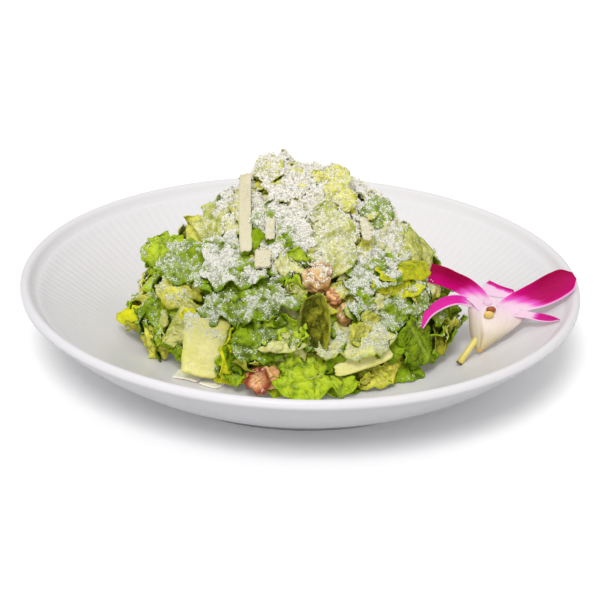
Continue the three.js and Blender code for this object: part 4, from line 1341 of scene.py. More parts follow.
@dataclass
class Snow:
    """Grated parmesan that fell on the leaves: where it lies, and the shreds themselves."""

    cone: float = 0.5
    rays: int = 6
    reach: float = 60.0
    crevice: float = 9.0
    crevice_rays: int = 7
    quick_crevice_rays: int = 3
    thinnest: float = 0.06
    fall: Point = (0, -0.25, 1)
    facing: Span = (-0.35, 0.4)
    opening: Span = (0.1, 0.75)
    crevice_cone: float = 0.92
    patch: float = 0.72
    patches: tuple[tuple[float, float, float, float], ...] = ((0.5, 0.7, 4.5, 5.0), (-0.6, 0.8, 2.0, 8.0))
    clump_scale: float = 520
    clump_heap: Span = (0.45, 0.7)
    clump_limit: float = 0.58
    wander: float = 420.0
    sizes: Span = (0.55, 1.35)
    # lift paints a glow on the grated cheese, and low paints shade on it low on the heap
    finish: CheeseFinish = CheeseFinish(
        "grated_parmesan", srgb(246, 243, 234), srgb(238, 233, 218), grain=300.0, glow=0.0, lift=0.06,
        low=srgb(222, 226, 212))
    cuts: tuple[Grating, ...] = (
        Grating("grated_dust", 0.4, 0.36, 2, 37000, 70, 0.15, 3, 0.4),
        Grating("grated_fine", 0.52, 0.4, 2, 37000, 70, 0.2, 4, 0.7),
        Grating("grated_crumb", 0.7, 0.5, 2, 30000, 70, 0.25, 5, 0.9),
        Grating("grated_short", 1.2, 0.42, 3, 5000, 45, 0.3, 6, 1.1),
        Grating("grated_long", 2.2, 0.36, 5, 900, 35, 0.6, 7, 1.0),
    )

    def settle(self, pieces: list[Object]) -> Object:
        """Works out where cheese lies, and keeps it on the pieces as their snow value.

        Args:
            pieces: what catches cheese, and keeps it off what is under it.

        Returns:
            One surface of all the pieces, for the shreds to lie on.
        """
        parts = [self.read(piece) for piece in pieces]
        offset, all_faces = 0, []
        for places, _normals, polygons in parts:
            all_faces += [tuple(corner + offset for corner in polygon) for polygon in polygons]
            offset += len(places)
        tree = BVHTree.FromPolygons(np.concatenate([part[0] for part in parts]).tolist(), all_faces)
        shell = Shell()
        for piece, (places, normals, polygons) in zip(pieces, parts):
            amount = np.empty(len(places), np.float32)
            piece.data.attributes["amount"].data.foreach_get("value", amount)
            snow = amount * self.sky(tree, places, normals) * self.drifts(places)
            # the open value is what the leaf finishes turn into painted shade in crevices
            opened = piece.data.attributes.new("open", "FLOAT", "POINT")
            opened.data.foreach_set("value", self.openness(tree, places, normals).astype(np.float32))
            attribute = piece.data.attributes.new("snow", "FLOAT", "POINT")
            attribute.data.foreach_set("value", snow.astype(np.float32))
            rows = np.array([(*polygon, polygon[-1])[:4] for polygon in polygons])
            shell.add(places, rows, snow=snow)
        return shell.build("snow_field")

    @staticmethod
    def read(piece: Object) -> tuple[Array, Array, list[tuple[int, ...]]]:
        """A piece's places in millimetres, its normals and its faces."""
        mesh = piece.data
        places, normals = np.empty((2, len(mesh.vertices) * 3))
        mesh.vertices.foreach_get("co", places)
        mesh.vertices.foreach_get("normal", normals)
        polygons = [tuple(face.vertices) for face in mesh.polygons]
        return places.reshape(-1, 3) / MM, normals.reshape(-1, 3), polygons

    def sky(self, tree: BVHTree, places: Array, normals: Array) -> Array:
        """How open each place is to what falls from above, 0 to 1."""
        turns = [GOLDEN_ANGLE * number for number in range(self.rays)]
        leans = [self.cone * math.sqrt(number / self.rays) for number in range(self.rays)]
        x, y, z = self.fall
        ways = [Vector((x + lean * math.cos(turn), lean * math.sin(turn) + y, z)).normalized()
                for turn, lean in zip(turns, leans)]
        facing = smooth(*self.facing, normals[:, 2])
        opened = np.zeros(len(places))
        for number in np.nonzero(facing > 0.02)[0]:
            start = Vector(places[number] + normals[number] * 0.4 + np.array([0, 0, 0.25]))
            clear = sum(tree.ray_cast(start, way, self.reach)[0] is None for way in ways)
            opened[number] = clear / self.rays
        return facing * smooth(*self.opening, opened)

    def openness(self, tree: BVHTree, places: Array, normals: Array) -> Array:
        """How open each place is to its near surroundings, 0 in a crevice to 1."""
        side = unit(np.cross(normals, [0.31, 0.52, 0.79]))
        other = np.cross(normals, side)
        total = np.zeros(len(places))
        count = self.crevice_rays
        starts = places + normals * 0.3
        for number in range(count):
            lean = math.sqrt((number + 0.5) / count) * self.crevice_cone
            turn = GOLDEN_ANGLE * number
            ways = normals * math.sqrt(1 - lean * lean) + side * (lean * math.cos(turn))
            ways = ways + other * (lean * math.sin(turn))
            for index, (start, way) in enumerate(zip(starts.tolist(), ways.tolist())):
                distance = tree.ray_cast(start, way, self.crevice)[3]
                total[index] += 1 if distance is None else distance / self.crevice
        return total / count

    def drifts(self, places: Array) -> Array:
        """Thicker and thinner patches, and more cheese towards the top."""
        x, y, z = places.T
        patch = self.patch + 0.3 * waves_noise(places, 16, 2.0)
        for across, along, size, seed in self.patches:
            patch = patch + 0.5 * lattice((x + across * z) / size, (y + along * z) / size, seed)
        patch = patch + 0.35 * smooth(60, 90, z)
        rise = 0.6 + 0.65 * smooth(22, 75, z)
        return np.clip(smooth(0.0, 1.0, patch) * rise, 0, 1.25)

    @staticmethod
    def random_number(graph: Graph, seed: object, low: float, high: float) -> Wire:
        """A random number between low and high for each point."""
        node = graph.node("FunctionNodeRandomValue", {"Seed": seed}, data_type="FLOAT")
        numbers = [socket for socket in node.inputs if socket.type == "VALUE"]
        graph.feed(numbers[0], low)
        graph.feed(numbers[1], high)
        return Wire(graph, next(socket for socket in node.outputs if socket.type == "VALUE"))

    @staticmethod
    def shred(graph: Graph, entry: dict[str, Wire]) -> Wire:
        """One straight shred with a flat three-sided section."""
        half = entry["Length"] * 0.5
        ends = {"Start": graph.vector(half * -1.0), "End": graph.vector(half)}
        line = graph.wire("GeometryNodeCurvePrimitiveLine", ends)
        steps = {"Curve": line, "Count": entry["Steps"]}
        fine = graph.wire("GeometryNodeResampleCurve", steps, mode="COUNT")
        circle = {"Resolution": 3, "Radius": entry["Width"] * 0.55}
        section = graph.wire("GeometryNodeCurvePrimitiveCircle", circle, mode="RADIUS")
        shred = graph.wire(
            "GeometryNodeCurveToMesh", {"Curve": fine, "Profile Curve": section, "Fill Caps": True})
        return graph.wire("GeometryNodeTransform", {"Geometry": shred, "Scale": (1.0, 1.0, 0.7)})

    @staticmethod
    def tipped(graph: Graph, entry: dict[str, Wire], rotation: object) -> Wire:
        """The surface's rotation, spun at random and tipped up to the stand."""
        lean = graph.node("FunctionNodeRandomValue", {"Seed": entry["Seed"]}, data_type="FLOAT_VECTOR")
        limits = [socket for socket in lean.inputs if socket.type == "VECTOR"]
        half_turn = 3.1416
        graph.feed(limits[0], graph.vector(-half_turn, entry["Stand"] * -1.0, -half_turn))
        graph.feed(limits[1], graph.vector(half_turn, entry["Stand"], half_turn))
        x, y, z = graph.parts(lean.outputs[0])
        for angles in (graph.vector(z=z), graph.vector(x, y)):
            step = graph.wire("FunctionNodeEulerToRotation", {0: angles})
            both = {"Rotation": rotation, "Rotate By": step}
            rotation = graph.wire("FunctionNodeRotateRotation", both, rotation_space="LOCAL")
        return rotation

    def tree(self) -> Tree:
        """Geometry nodes that lay curled shreds on a surface, as thick as its snow value says."""
        numbers = ("Length", "Width", "Density", "Stand", "Curl", "Pile")
        graph, entry = new_tree(
            "Geometry", "grate_cheese",
            {"Geometry": ("Surface",), "Float": numbers, "Int": ("Steps", "Seed"), "Material": ("Cheese",)},
            {"Geometry": ("Shreds",)})
        seed, position = entry["Seed"], graph.wire("GeometryNodeInputPosition")
        snow = graph.wire(
            "GeometryNodeInputNamedAttribute", {"Name": "snow"}, "Attribute", data_type="FLOAT")
        thick = graph.math("MAXIMUM", snow - self.thinnest, 0.0) * entry["Density"]
        spread = graph.node(
            "GeometryNodeDistributePointsOnFaces",
            {"Mesh": entry["Surface"], "Density": thick, "Seed": seed}, distribute_method="RANDOM")
        rotation = self.tipped(graph, entry, spread.outputs["Rotation"])
        clump = graph.noise(self.clump_scale, 2, 0.6, position)
        bare = graph.math("LESS_THAN", clump, self.clump_limit - snow * 0.15)
        kept = graph.wire(
            "GeometryNodeDeleteGeometry", {"Geometry": spread.outputs["Points"], "Selection": bare},
            domain="POINT")
        pile = graph.ramp(clump, *self.clump_heap) * entry["Pile"]
        lift = self.random_number(graph, seed + 9.0, 0.0, 1.6) * pile
        raised = graph.wire("GeometryNodeSetPosition", {"Geometry": kept, "Offset": graph.vector(z=lift)})
        laid = graph.wire("GeometryNodeInstanceOnPoints", {
            "Points": raised, "Instance": self.shred(graph, entry), "Rotation": rotation,
            "Scale": self.random_number(graph, seed + 7.0, *self.sizes)})
        whole = graph.wire("GeometryNodeRealizeInstances", {0: laid})
        wander = graph.wire(
            "ShaderNodeTexNoise", {"Vector": position, "Scale": self.wander, "Detail": 1.0}, "Color")
        centred = graph.wire("ShaderNodeVectorMath", {0: wander, 1: (0.5, 0.5, 0.5)}, operation="SUBTRACT")
        shift = graph.wire(
            "ShaderNodeVectorMath", {0: centred, "Scale": entry["Curl"] * 4.0}, operation="SCALE")
        curled = graph.wire("GeometryNodeSetPosition", {"Geometry": whole, "Offset": shift})
        dressed = graph.wire("GeometryNodeSetMaterial", {"Geometry": curled, "Material": entry["Cheese"]})
        return graph.close({"Shreds": dressed})

    def whole_amount(self, surface: Object) -> float:
        """The sum of area and amount over the surface, which one unit of density would lay."""
        mesh = surface.data
        snow = np.empty(len(mesh.vertices), np.float32)
        mesh.attributes["snow"].data.foreach_get("value", snow)
        total = 0.0
        for face in mesh.polygons:
            amounts = [max(float(snow[corner]) - self.thinnest, 0.0) for corner in face.vertices]
            total += face.area * (sum(amounts) / len(amounts))
        return total

    def build(self, surface: Object, effects: Effects) -> None:
        """Lays each cut of cheese on the surface, then takes the surface away."""
        tree, cheese = self.tree(), self.finish.build(effects)
        whole = self.whole_amount(surface)
        for cut in self.cuts:
            piece = bpy.data.objects.new(cut.name, surface.data)
            bpy.context.scene.collection.objects.link(piece)
            apply_nodes(piece, tree, {
                "Length": cut.length * MM, "Width": cut.width * MM, "Density": cut.count / whole,
                "Stand": math.radians(cut.stand), "Curl": cut.curl * MM, "Pile": cut.pile * MM,
                "Steps": cut.steps, "Seed": cut.seed, "Cheese": cheese})
            finish_piece(piece, cheese, ("salad_heap",))
        bpy.data.objects.remove(surface)


# ------------------------------------------------------------------ nuts and croutons


@dataclass(frozen=True)
class Lump:
    """A nut or a crouton: its node, its middle and its three radii."""

    node: str
    centre: Point
    radii: Point
    crag: float
    seed: int
    corners: float = 0.0
    snow: float = 0.25
    pale_side: Point = (0.0, 0.0, 1.0)
    ring: Point | None = None
    noise_scale: float = 10

    def swell(self, way: Array) -> Array:
        """The frame's own crags, in parts of the radius."""
        x, y, z = way.T
        bumps = np.sin(3.1 * x + 2.3 * y + self.seed) + np.sin(4.2 * z - 2.7 * y + 2 * self.seed)
        return 1 + self.crag * (bumps + 0.6 * np.sin(6.3 * x - 5.1 * z + 3 * self.seed))

    def shape(self, folds: float, pores: float) -> Shell:
        """The lump in fine mesh.

        Args:
            folds: depth of the folds between its lobes, in parts of the radius.
            pores: depth of the fine pores, in millimetres.

        Returns:
            A shell with a value for the painted shade in the folds, and on a ringed nut its dark ring and
            specks.
        """
        ico = bpy.data.meshes.new("ico")
        form = bmesh.new()
        bmesh.ops.create_icosphere(form, subdivisions=5, radius=1.0)
        form.to_mesh(ico)
        form.free()
        way = np.empty(len(ico.vertices) * 3)
        ico.vertices.foreach_get("co", way)
        way = unit(way.reshape(-1, 3))
        faces = np.array([(*face.vertices, face.vertices[-1]) for face in ico.polygons])
        bpy.data.meshes.remove(ico)
        grid = way * self.noise_scale
        lobes = np.abs(waves_noise(grid, 10.5, self.seed * 1.7)) ** 0.7
        small = np.abs(waves_noise(grid, 5.5, self.seed * 0.9)) ** 0.7
        # painted shade: darker in the folds between the lobes
        hollow = np.clip(1 - 1.5 * lobes, 0, 1)
        scale = self.swell(way) * (1 + folds * (lobes - 0.55) + 0.5 * folds * (small - 0.5))
        if self.corners:
            turned = way @ np.array(Matrix.Rotation(self.seed, 3, Vector((0.5, 0.3, 1.0))))
            scale = scale / (np.abs(turned) ** self.corners).sum(-1) ** (1 / self.corners) * 0.92
        fine = pores * waves_noise(grid, 2.1, self.seed)
        points = np.array(self.centre) + way * (np.array(self.radii) * scale[:, None] + fine[:, None])
        shell = Shell()
        # paler towards pale_side, straight up unless given, and browner away from it
        toast = 0.5 - 0.75 * way @ unit(np.array(self.pale_side))
        toast = toast + 0.5 * waves_noise(grid, 9, self.seed * 2.3)
        if self.ring:
            near = way @ unit(np.array(self.ring))
            knots = np.abs(waves_noise(grid, 3.2, 2.0))
            band = np.exp(-(((near - 0.7) / 0.16) ** 2))
            core = smooth(0.82, 0.93, near)
            points = points + way * ((0.6 + 0.9 * knots) * band - 1.1 * core)[:, None]
            toast = np.maximum(0.25 * toast * (1 - core), 1.1 * band) - 0.4 * core
            # the walnut's own dark ring and specks, with painted shade between the knots of the ring
            hollow = np.maximum(0.3 * hollow * (1 - core), band * np.clip(1.5 - 0.7 * knots, 0, 1))
            hollow = hollow + 0.9 * core * (np.abs(waves_noise(grid, 1.1, 5.0)) < 0.12)
        shell.add(points, faces, hollow=hollow, toast=np.clip(toast, 0, 1), amount=self.snow)
        return shell


LUMPS = (
    Lump("walnut_front", (-15.2, -62, 16.8), (6.8, 6, 6.2), 0.13, 4, snow=0.1, pale_side=(1, -0.3, 0.7),
         ring=(-0.42, -0.85, 0.2)),
    Lump("walnut_centre", (14.8, -48, 50.8), (4.1, 4, 4), 0.13, 9),
    Lump("walnut_back", (-24, 41, 53), (7.2, 6, 6), 0.13, 2),
    Lump("crouton_centre", (7.4, -46.8, 58.8), (6.0, 5.2, 7.2), 0.12, 6, 4.0, snow=0.6),
    Lump("crouton_small", (20, -50, 43.6), (3.5, 3.4, 5), 0.09, 7, 4.0, snow=0.4),
    Lump("crouton_back", (30, 42, 47), (7, 6.2, 6.6), 0.09, 3, 4.0, snow=0.7),
)


@dataclass
class Bites:
    """The walnuts and croutons that lie among the leaves."""

    walnut: ToastedFinish = ToastedFinish(
        "candied_walnut", srgb(248, 204, 142), srgb(220, 104, 12), srgb(100, 10, 0), 190.0, 0.25, 420.0,
        coat=0.3)
    crouton: ToastedFinish = ToastedFinish(
        "toasted_crouton", srgb(232, 200, 138), srgb(198, 142, 62), srgb(112, 66, 16), 130.0, 0.7, 700.0)
    walnut_relief: Span = (0.22, 0.12)
    crouton_relief: Span = (0.11, 0.3)

    def build(self, effects: Effects) -> list[Object]:
        """Builds and dresses each of them."""
        finishes = {"walnut": self.walnut.build(effects), "crouton": self.crouton.build(effects)}
        built = []
        for lump in LUMPS:
            sort = lump.node.split("_")[0]
            relief = self.walnut_relief if sort == "walnut" else self.crouton_relief
            piece = lump.shape(*relief).build(lump.node + "_bite")
            finish_piece(piece, finishes[sort], (lump.node,))
            built.append(piece)
        return built


# ------------------------------------------------------------------ shavings


@dataclass(frozen=True)
class Shaving:
    """A thin curl of parmesan between two ends."""

    node: str
    start: Point
    finish: Point
    towards: Point
    width: float
    bend: float = 0.0
    cup: float = 0.0
    thickness: float = 0.9
    snow: float = 0.6
    step: float = 0.7

    def sheet(self) -> Array:
        """Its grid of places, a little ragged at the edges."""
        start, finish = np.array(self.start), np.array(self.finish)
        length = float(np.linalg.norm(finish - start))
        along = (finish - start) / length
        face = unit(np.array(self.towards) - along * np.dot(along, self.towards))
        u, v = uv_grid(max(10, round(length / self.step)), max(6, round(self.width / self.step)))
        seed, middle = float(len(self.node)), 2 * u - 1
        run = 0.25 * np.sin(5 * v + seed) * np.sign(middle) * np.abs(middle) ** 6
        square = 0.8 + 0.2 * np.sqrt(np.maximum(0, 1 - np.abs(middle) ** 10))
        ragged = 1 + 0.03 * np.sin(7 * u + seed + v) + 0.015 * np.sin(29 * u + 2 * seed)
        spread, rise = cupped(0.5 * self.width * square * ragged, v, self.cup)
        rise = rise + 0.25 * np.sin(4.3 * u + 2.1 * v + 2.3 * seed)
        axes = ((start + finish) / 2, along, np.cross(along, face), face)
        return bent(axes, (length, self.bend), u, (run, spread, rise))

    def build(self, material: Material) -> Object:
        """Builds and dresses the shaving."""
        shell = Shell()
        shell.add(*thicken(self.sheet(), self.thickness), amount=self.snow)
        piece = shell.build(self.node + "_curl")
        finish_piece(piece, material, (self.node,))
        return piece


SHAVINGS = (
    Shaving("shaving_long", (-24.6, -42.5, 69.5), (-26.3, -12.5, 94.4), (-0.2, -0.6, 0.8), 5.6, 14, -14,
            thickness=0.6, snow=0.12),
    Shaving("shaving_middle", (-14, -41, 75.0), (-14.5, -32.5, 83.0), (0, -0.7, 0.7), 4.2, 12,
            thickness=0.6, snow=0.45),
    Shaving("shaving_right", (29.2, -33, 72.6), (27.2, -23.5, 79.6), (0.4, -0.6, 0.7), 4.4, 16,
            thickness=0.6, snow=0.45),
    Shaving("shaving_block", (-17, -47.5, 64), (-17, -41, 69.5), (-0.1, -0.6, 0.8), 7.0, thickness=2.2,
            snow=0.25),
    Shaving("shaving_back", (-2, 43, 60), (6, 25, 80), (0, 0.75, 0.66), 6, 18),
    Shaving("shaving_plate_left", (-55.5, -43, 8.8), (-43.5, -46.5, 8.2), (0.12, 0.12, 1), 12,
            thickness=0.35),
    Shaving("shaving_plate_right", (-43, -49, 8.1), (-34, -53, 8.1), (0.06, 0.12, 1), 9, thickness=0.35),
)
CUT_PARMESAN = CheeseFinish("cut_parmesan", srgb(208, 200, 170), srgb(196, 186, 150), grain=160.0, glow=0.45)
# lift paints a glow on the thin shavings on the plate
THIN_PARMESAN = CheeseFinish(
    "thin_parmesan", srgb(246, 238, 220), srgb(240, 234, 208), grain=160.0, glow=0.5, lift=0.06)


# ------------------------------------------------------------------ the flower


def flowing(values: Array, u: Array) -> Array:
    """A smooth curve through evenly spaced values, read at u of 0 to 1."""
    knots = np.linspace(0, 1, len(values))
    slopes = np.gradient(values, knots, axis=0)
    index = np.clip(np.searchsorted(knots, u, side="right") - 1, 0, len(knots) - 2)
    span = knots[1] - knots[0]
    t = ((u - knots[index]) / span)[:, None]
    first, second, m0, m1 = values[index], values[index + 1], slopes[index] * span, slopes[index + 1] * span
    return ((2 * t**3 - 3 * t**2 + 1) * first + (t**3 - 2 * t**2 + t) * m0
            + (-2 * t**3 + 3 * t**2) * second + (t**3 - t**2) * m1)


@dataclass(frozen=True)
class Petal:
    """A petal or sepal on a curved spine, with a width at each of its places."""

    name: str
    spine: Points
    widths: tuple[float, ...]
    towards: Point
    cup: float = 30.0
    fade: Span = (0.15, 0.55)
    slant: float = 0.0
    pale_edge: float = 0.0
    deep_side: float = 0.0
    pink: float = 0.0
    thickness: float = 0.6
    seed: float = 1.0
    rows: int = 48
    columns: int = 26

    def fill(self, shell: Shell) -> None:
        """Adds the petal to a shell."""
        u, v = uv_grid(self.rows, self.columns)
        spine = flowing(np.array(self.spine, float), u[:, 0])
        half = 0.5 * np.maximum(flowing(np.array(self.widths, float)[:, None], u[:, 0]), 0.15)
        along = unit(np.gradient(spine, axis=0))
        towards = np.array(self.towards, float)
        face = unit(towards - along * (along @ towards)[:, None])
        across = np.cross(along, face)
        spread, rise = cupped(half, v, self.cup)
        rise = rise + 0.22 * np.sin(6 * u + 2.2 * v + self.seed) * np.abs(v)
        sheet = spine[:, None] + across[:, None] * spread[..., None] + face[:, None] * rise[..., None]
        points, faces = thicken(sheet, self.thickness * (1 - 0.5 * np.abs(v) ** 3))
        u, v = u.ravel(), v.ravel()
        reach = u + self.slant * v + 0.015 * np.sin(9 * v + self.seed) + 0.008 * np.sin(23 * v)
        fade = smooth(self.fade[0], self.fade[1], reach)
        if self.pale_edge:
            edge, side = abs(self.pale_edge), np.sign(self.pale_edge)
            fade = fade * (1 - 0.9 * smooth(edge - 0.1, edge + 0.1, v * side))
        deep = np.clip(0.75 + self.deep_side * v, 0, 1) * smooth(0.05, 0.6, u)
        both = {"along": u, "across": v, "fade": fade, "deep": deep}
        back = np.repeat([0.0, 1.0], len(u))
        shell.add(points, faces, **{key: np.tile(value, 2) for key, value in both.items()},
                  back=back, pink=self.pink)


PETALS = (
    Petal("petal_right",
          ((92, -19.4, 33.2), (98, -16.6, 35.6), (104.8, -14, 37.6), (111, -12.5, 39.8),
           (117, -10.5, 42.4), (122.5, -8.5, 45), (126.4, -7, 47)),
          (7, 9.4, 11, 12.4, 13.6, 13.6, 11.6, 4), (-0.15, -0.8, 0.55), cup=38, fade=(0.12, 0.46),
          slant=-0.18, pale_edge=0.88, deep_side=-0.2, seed=1),
    Petal("petal_left",
          ((85.2, -18.5, 34.6), (81.6, -15.4, 38.6), (76.2, -13.2, 42.2), (70.7, -13, 45),
           (65.1, -13.5, 47.6), (59, -13.5, 49.2)),
          (7.4, 8.6, 9, 8.6, 9, 9), (0.1, -0.85, 0.5), cup=24, fade=(0.12, 0.52), slant=0.14,
          deep_side=0.6, seed=2),
    Petal("sepal_top",
          ((88, -18.4, 34.4), (89.6, -15.2, 36.2), (91, -11.6, 37.8), (92.2, -8.2, 38.8), (93, -5, 39.8)),
          (9, 13, 15.5, 15, 12), (0.05, -0.8, 0.6), cup=30, fade=(0.7, 0.94), deep_side=0.2, pink=0.3,
          seed=3),
    Petal("sepal_left",
          ((80.5, -16, 34.6), (73.9, -18, 37.7), (68, -23, 39.3), (62.3, -29, 39), (57.9, -36, 38),
           (55.4, -42, 34.2)),
          (3, 4.4, 5.2, 5.2, 4.2, 0.8), (-0.15, -0.75, 0.6), cup=46, fade=(0.02, 0.28), pale_edge=-0.7,
          deep_side=0.7, pink=0.7, seed=4),
    Petal("sepal_right",
          ((98, -18, 32.4), (104.5, -22, 33), (110, -27, 34.2), (114.5, -31.5, 35.6), (117.4, -35, 37.2)),
          (5.5, 4.2, 4.6, 3.2, 0.5), (-0.05, -0.6, 0.8), cup=50, fade=(0.3, 0.5), pale_edge=0.7,
          pink=0.4, seed=5),
)


@dataclass
class Dendrobium:
    """The flower on the plate: petals, the folded cream cup, the cap and the stalk."""

    left_edge: Points = (
        (82.2, -25, 15.1), (80.1, -24, 19.2), (78.6, -22, 23.8), (77.8, -19, 29.5), (77.6, -17, 33.5),
        (79.4, -13, 37))
    ridge: Points = (
        (83, -26.5, 15.6), (83.4, -27.5, 20.9), (83.6, -26.5, 26), (83.6, -23, 31), (84.2, -19, 35),
        (86.5, -13.5, 38.6))
    right_edge: Points = (
        (84, -25, 15.2), (89.4, -25, 19.9), (96, -24, 24.8), (101.6, -21.5, 28.8),
        (104.5, -18.5, 32.4), (99, -13.5, 37))
    belly: float = 1.6
    wall: float = 1.0
    back_shift: Point = (1.0, 7.0, 2.5)
    stalk: Points = ((73.8, -29.5, 10.9), (77.2, -27.5, 16.2), (82.4, -24, 22.5))
    stalk_radius: float = 1.6
    cap_beads: tuple[tuple[Point, Point, float], ...] = (
        ((87.6, -21.6, 35.2), (2.3, 1.3, 1.6), 0.0), ((86.6, -23.2, 33.2), (2.4, 1.0, 1.9), 1.0))
    cream: BlossomFinish = BlossomFinish(
        "dendrobium_cup", srgb(224, 198, 214), srgb(218, 206, 188), srgb(224, 210, 150), srgb(240, 192, 112))
    brown: BlossomFinish = BlossomFinish(
        "anther_cap", srgb(226, 194, 110), srgb(214, 160, 80), srgb(160, 88, 34), srgb(156, 84, 32),
        srgb(200, 150, 70), srgb(170, 100, 40))
    green: BlossomFinish = BlossomFinish(
        "dendrobium_stalk", srgb(226, 212, 130), srgb(222, 206, 118), srgb(206, 190, 92), srgb(88, 74, 22),
        srgb(200, 190, 90))

    def cup(self) -> tuple[Array, Array, Array, Array]:
        """The folded cup of the two lower sepals: its places, faces, rise and side."""
        u = np.linspace(0, 1, 41)
        edges = [flowing(np.array(edge, float), u) for edge in (self.left_edge, self.ridge, self.right_edge)]
        v = np.linspace(-1, 1, 37)
        left, right = np.clip(-v, 0, 1)[None, :, None], np.clip(v, 0, 1)[None, :, None]
        sheet = edges[0][:, None] * left + edges[2][:, None] * right + edges[1][:, None] * (1 - left - right)
        round_side = np.sin(math.pi * np.abs(v)) * (0.5 + 0.5 * (v > 0))
        sheet[..., 1] -= self.belly * round_side[None, :] * np.sin(math.pi * np.clip(u, 0, 0.9))[:, None]
        narrow = np.sin(math.pi * u ** 1.4)[:, None, None] ** 0.7
        middle = sheet.mean(1, keepdims=True)
        back = middle + (sheet - middle) * 0.86 + np.array(self.back_shift) * narrow
        tip = smooth(0, 0.06, u)[:, None, None]
        back = back * tip + (sheet + [0, self.wall, 0]) * (1 - tip)
        points, faces = grid_shell(sheet, back)
        return points, faces, np.tile(np.repeat(u, len(v)), 2), np.tile(v, 2 * len(u))

    @staticmethod
    def bead(centre: Point, radii: Point) -> tuple[Array, Array]:
        """A small smooth bead."""
        turn = np.linspace(0, math.pi, 13)
        outline = [(0.0, -1.0)] + [(math.sin(a), -math.cos(a)) for a in turn[1:-1]] + [(0.0, 1.0)]
        points, faces = lathe_shell([(float(r), float(h)) for r, h in outline], 24)
        return points * np.array(radii) + np.array(centre), faces

    def stem(self) -> tuple[Array, Array, Array]:
        """The short cut stalk: its places, faces and rise, which is 0 at the cut."""
        path = np.array(self.stalk, float)
        rings = sides = 24
        t = np.linspace(0, 1, rings)[:, None]
        spine = (1 - t) ** 2 * path[0] + 2 * t * (1 - t) * path[1] + t**2 * path[2]
        along = unit(np.gradient(spine, axis=0))
        sideways = unit(np.cross(along, [0, 0, 1.0]))
        other = np.cross(sideways, along)
        turn = np.linspace(0, 2 * math.pi, sides, endpoint=False)[:, None]
        radius = self.stalk_radius * (1.05 - 0.16 * np.sin(math.pi * t))
        ring = sideways[:, None] * np.cos(turn) + other[:, None] * np.sin(turn)
        body = spine[:, None] + ring * radius[..., None]
        ends = np.array([spine[0] + along[0] * 0.35, spine[-1]])
        rise = np.concatenate([np.repeat(t[:, 0], sides), [0.0, 1.0]])
        return np.concatenate([body.reshape(-1, 3), ends]), tube_faces(rings, sides), rise

    @staticmethod
    def dress(shell: Shell, name: str, material: Material) -> None:
        """Makes one part of the flower."""
        finish_piece(shell.build(name), material, ("orchid_flower",))

    def build(self) -> None:
        """Builds and dresses the flower."""
        petals, body, caps, stalk = (Shell() for _part in range(4))
        for petal in PETALS:
            petal.fill(petals)
        points, faces, rise, side = self.cup()
        body.add(points, faces, rise=rise, side=side)
        for centre, radii, rise in self.cap_beads:
            caps.add(*self.bead(centre, radii), rise=rise, side=0.5)
        points, faces, rise = self.stem()
        stalk.add(points, faces, rise=rise, side=0.5)
        self.dress(petals, "orchid_petals", PetalFinish().build())
        self.dress(body, "orchid_cup", self.cream.build())
        self.dress(caps, "orchid_cap", self.brown.build())
        self.dress(stalk, "orchid_stalk", self.green.build())


# ------------------------------------------------------------------ studio


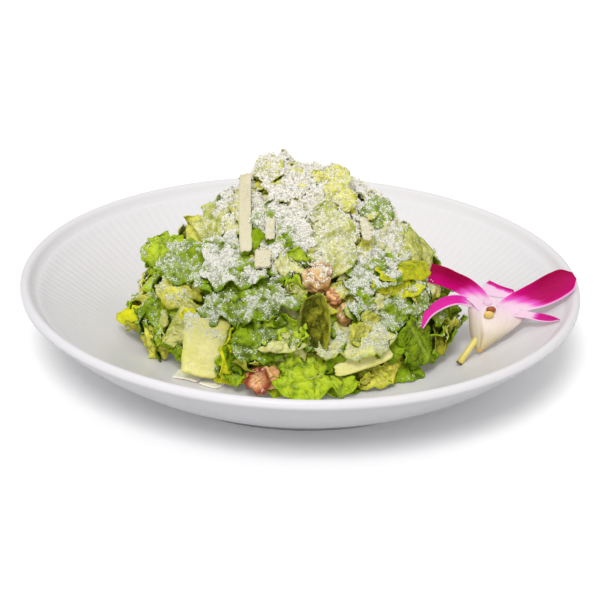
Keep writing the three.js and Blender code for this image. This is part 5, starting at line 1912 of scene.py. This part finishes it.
@dataclass
class Studio:
    """The camera, the pale floor and the soft lights."""

    target: Point = (0.0, 0.0, 15.0)
    elevation: float = 24.917
    distance: float = 1000.0
    focal_pixels: float = 2121.43
    picture: float = 600.0
    principal: Span = (299.354, 324.128)
    roll: float = 1.6795
    sensor: float = 36.0
    horizon: float = 0.12
    overhead: float = 0.7
    clip: Span = (0.05, 20.0)
    floor_size: float = 4.0
    key: tuple[Point, float, float] = ((-0.15, -0.85, 1.0), 1.7, 20)
    fill: tuple[Point, float, float] = ((0.0, -0.4, 1.0), 0.56, 40)

    def camera(self) -> None:
        """Places the camera, aimed so that it needs no shift."""
        lift, roll = math.radians(self.elevation), math.radians(self.roll)
        back = Vector((0, -math.cos(lift), math.sin(lift)))
        right, up = Vector((1, 0, 0)), Vector((0, math.sin(lift), math.cos(lift)))
        across = right * math.cos(roll) + up * math.sin(roll)
        above = up * math.cos(roll) - right * math.sin(roll)
        centre = self.picture / 2
        aim = (-back + across * ((centre - self.principal[0]) / self.focal_pixels)
               + above * ((self.principal[1] - centre) / self.focal_pixels)).normalized()
        across = (across - aim * across.dot(aim)).normalized()
        above = across.cross(aim)
        data = bpy.data.cameras.new("camera")
        data.sensor_width = self.sensor
        data.lens = self.focal_pixels * self.sensor / self.picture
        data.clip_start, data.clip_end = self.clip
        camera = bpy.data.objects.new("camera", data)
        turn = Matrix((across, above, -aim)).transposed().to_4x4()
        place = (Vector(self.target) + back * self.distance) * MM
        camera.matrix_world = Matrix.Translation(place) @ turn
        bpy.context.scene.collection.objects.link(camera)
        bpy.context.scene.camera = camera

    def floor(self) -> None:
        """A plain pale floor."""
        size = self.floor_size
        mesh = bpy.data.meshes.new("floor")
        corners = [(-size, -size, 0), (size, -size, 0), (size, size, 0), (-size, size, 0)]
        mesh.from_pydata(corners, [], [(0, 1, 2, 3)])
        white = {"Base Color": (1.0, 1.0, 1.0), "Roughness": 0.9}
        mesh.materials.append(Surface("floor_white").dress(white))
        floor = bpy.data.objects.new("floor", mesh)
        bpy.context.scene.collection.objects.link(floor)

    def sun(self, name: str, towards: Point, strength: float, angle: float,
            shadow: bool = True) -> None:
        """Adds a wide soft sun, or an even fill that casts no shadow."""
        data = bpy.data.lights.new(name, "SUN")
        data.energy, data.angle, data.use_shadow = strength, math.radians(angle), shadow
        lamp = bpy.data.objects.new(name, data)
        lamp.rotation_mode = "QUATERNION"
        lamp.rotation_quaternion = (-Vector(towards)).to_track_quat("-Z", "Y")
        bpy.context.scene.collection.objects.link(lamp)

    def sky(self) -> None:
        """A white surround, brighter overhead than at the horizon."""
        world = bpy.data.worlds.new("studio")
        world.use_nodes = True
        graph = Graph(world.node_tree)
        background = next(node for node in world.node_tree.nodes if node.type == "BACKGROUND")
        height = graph.parts(graph.wire("ShaderNodeTexCoord", output="Generated"))[2]
        strength = graph.math("MAXIMUM", height, 0.0) * self.overhead + self.horizon
        graph.feed(background.inputs["Strength"], strength)
        graph.feed(background.inputs["Color"], (1.0, 1.0, 1.0))
        bpy.context.scene.world = world

    def build(self) -> None:
        """Builds the studio."""
        self.camera()
        self.floor()
        self.sky()
        bpy.context.scene.view_settings.view_transform = "Standard"
        self.sun("key", *self.key)
        self.sun("fill", *self.fill, shadow=False)


def main() -> None:
    """Builds the studio, the plate and the food."""
    logging.basicConfig(level=logging.INFO, format="%(name)s %(message)s")
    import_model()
    effects = Effects()
    Studio().build()
    Plate().build()
    leaves = RomaineHeap().build(effects)
    bites = Bites().build(effects)
    cut, thin = CUT_PARMESAN.build(effects), THIN_PARMESAN.build(effects)
    curls = [shaving.build(thin if "plate" in shaving.node else cut) for shaving in SHAVINGS]
    snow = Snow()
    surface = snow.settle(leaves + bites + curls)
    snow.build(surface, effects)
    Dendrobium().build()


if __name__ == "__main__":
    main()
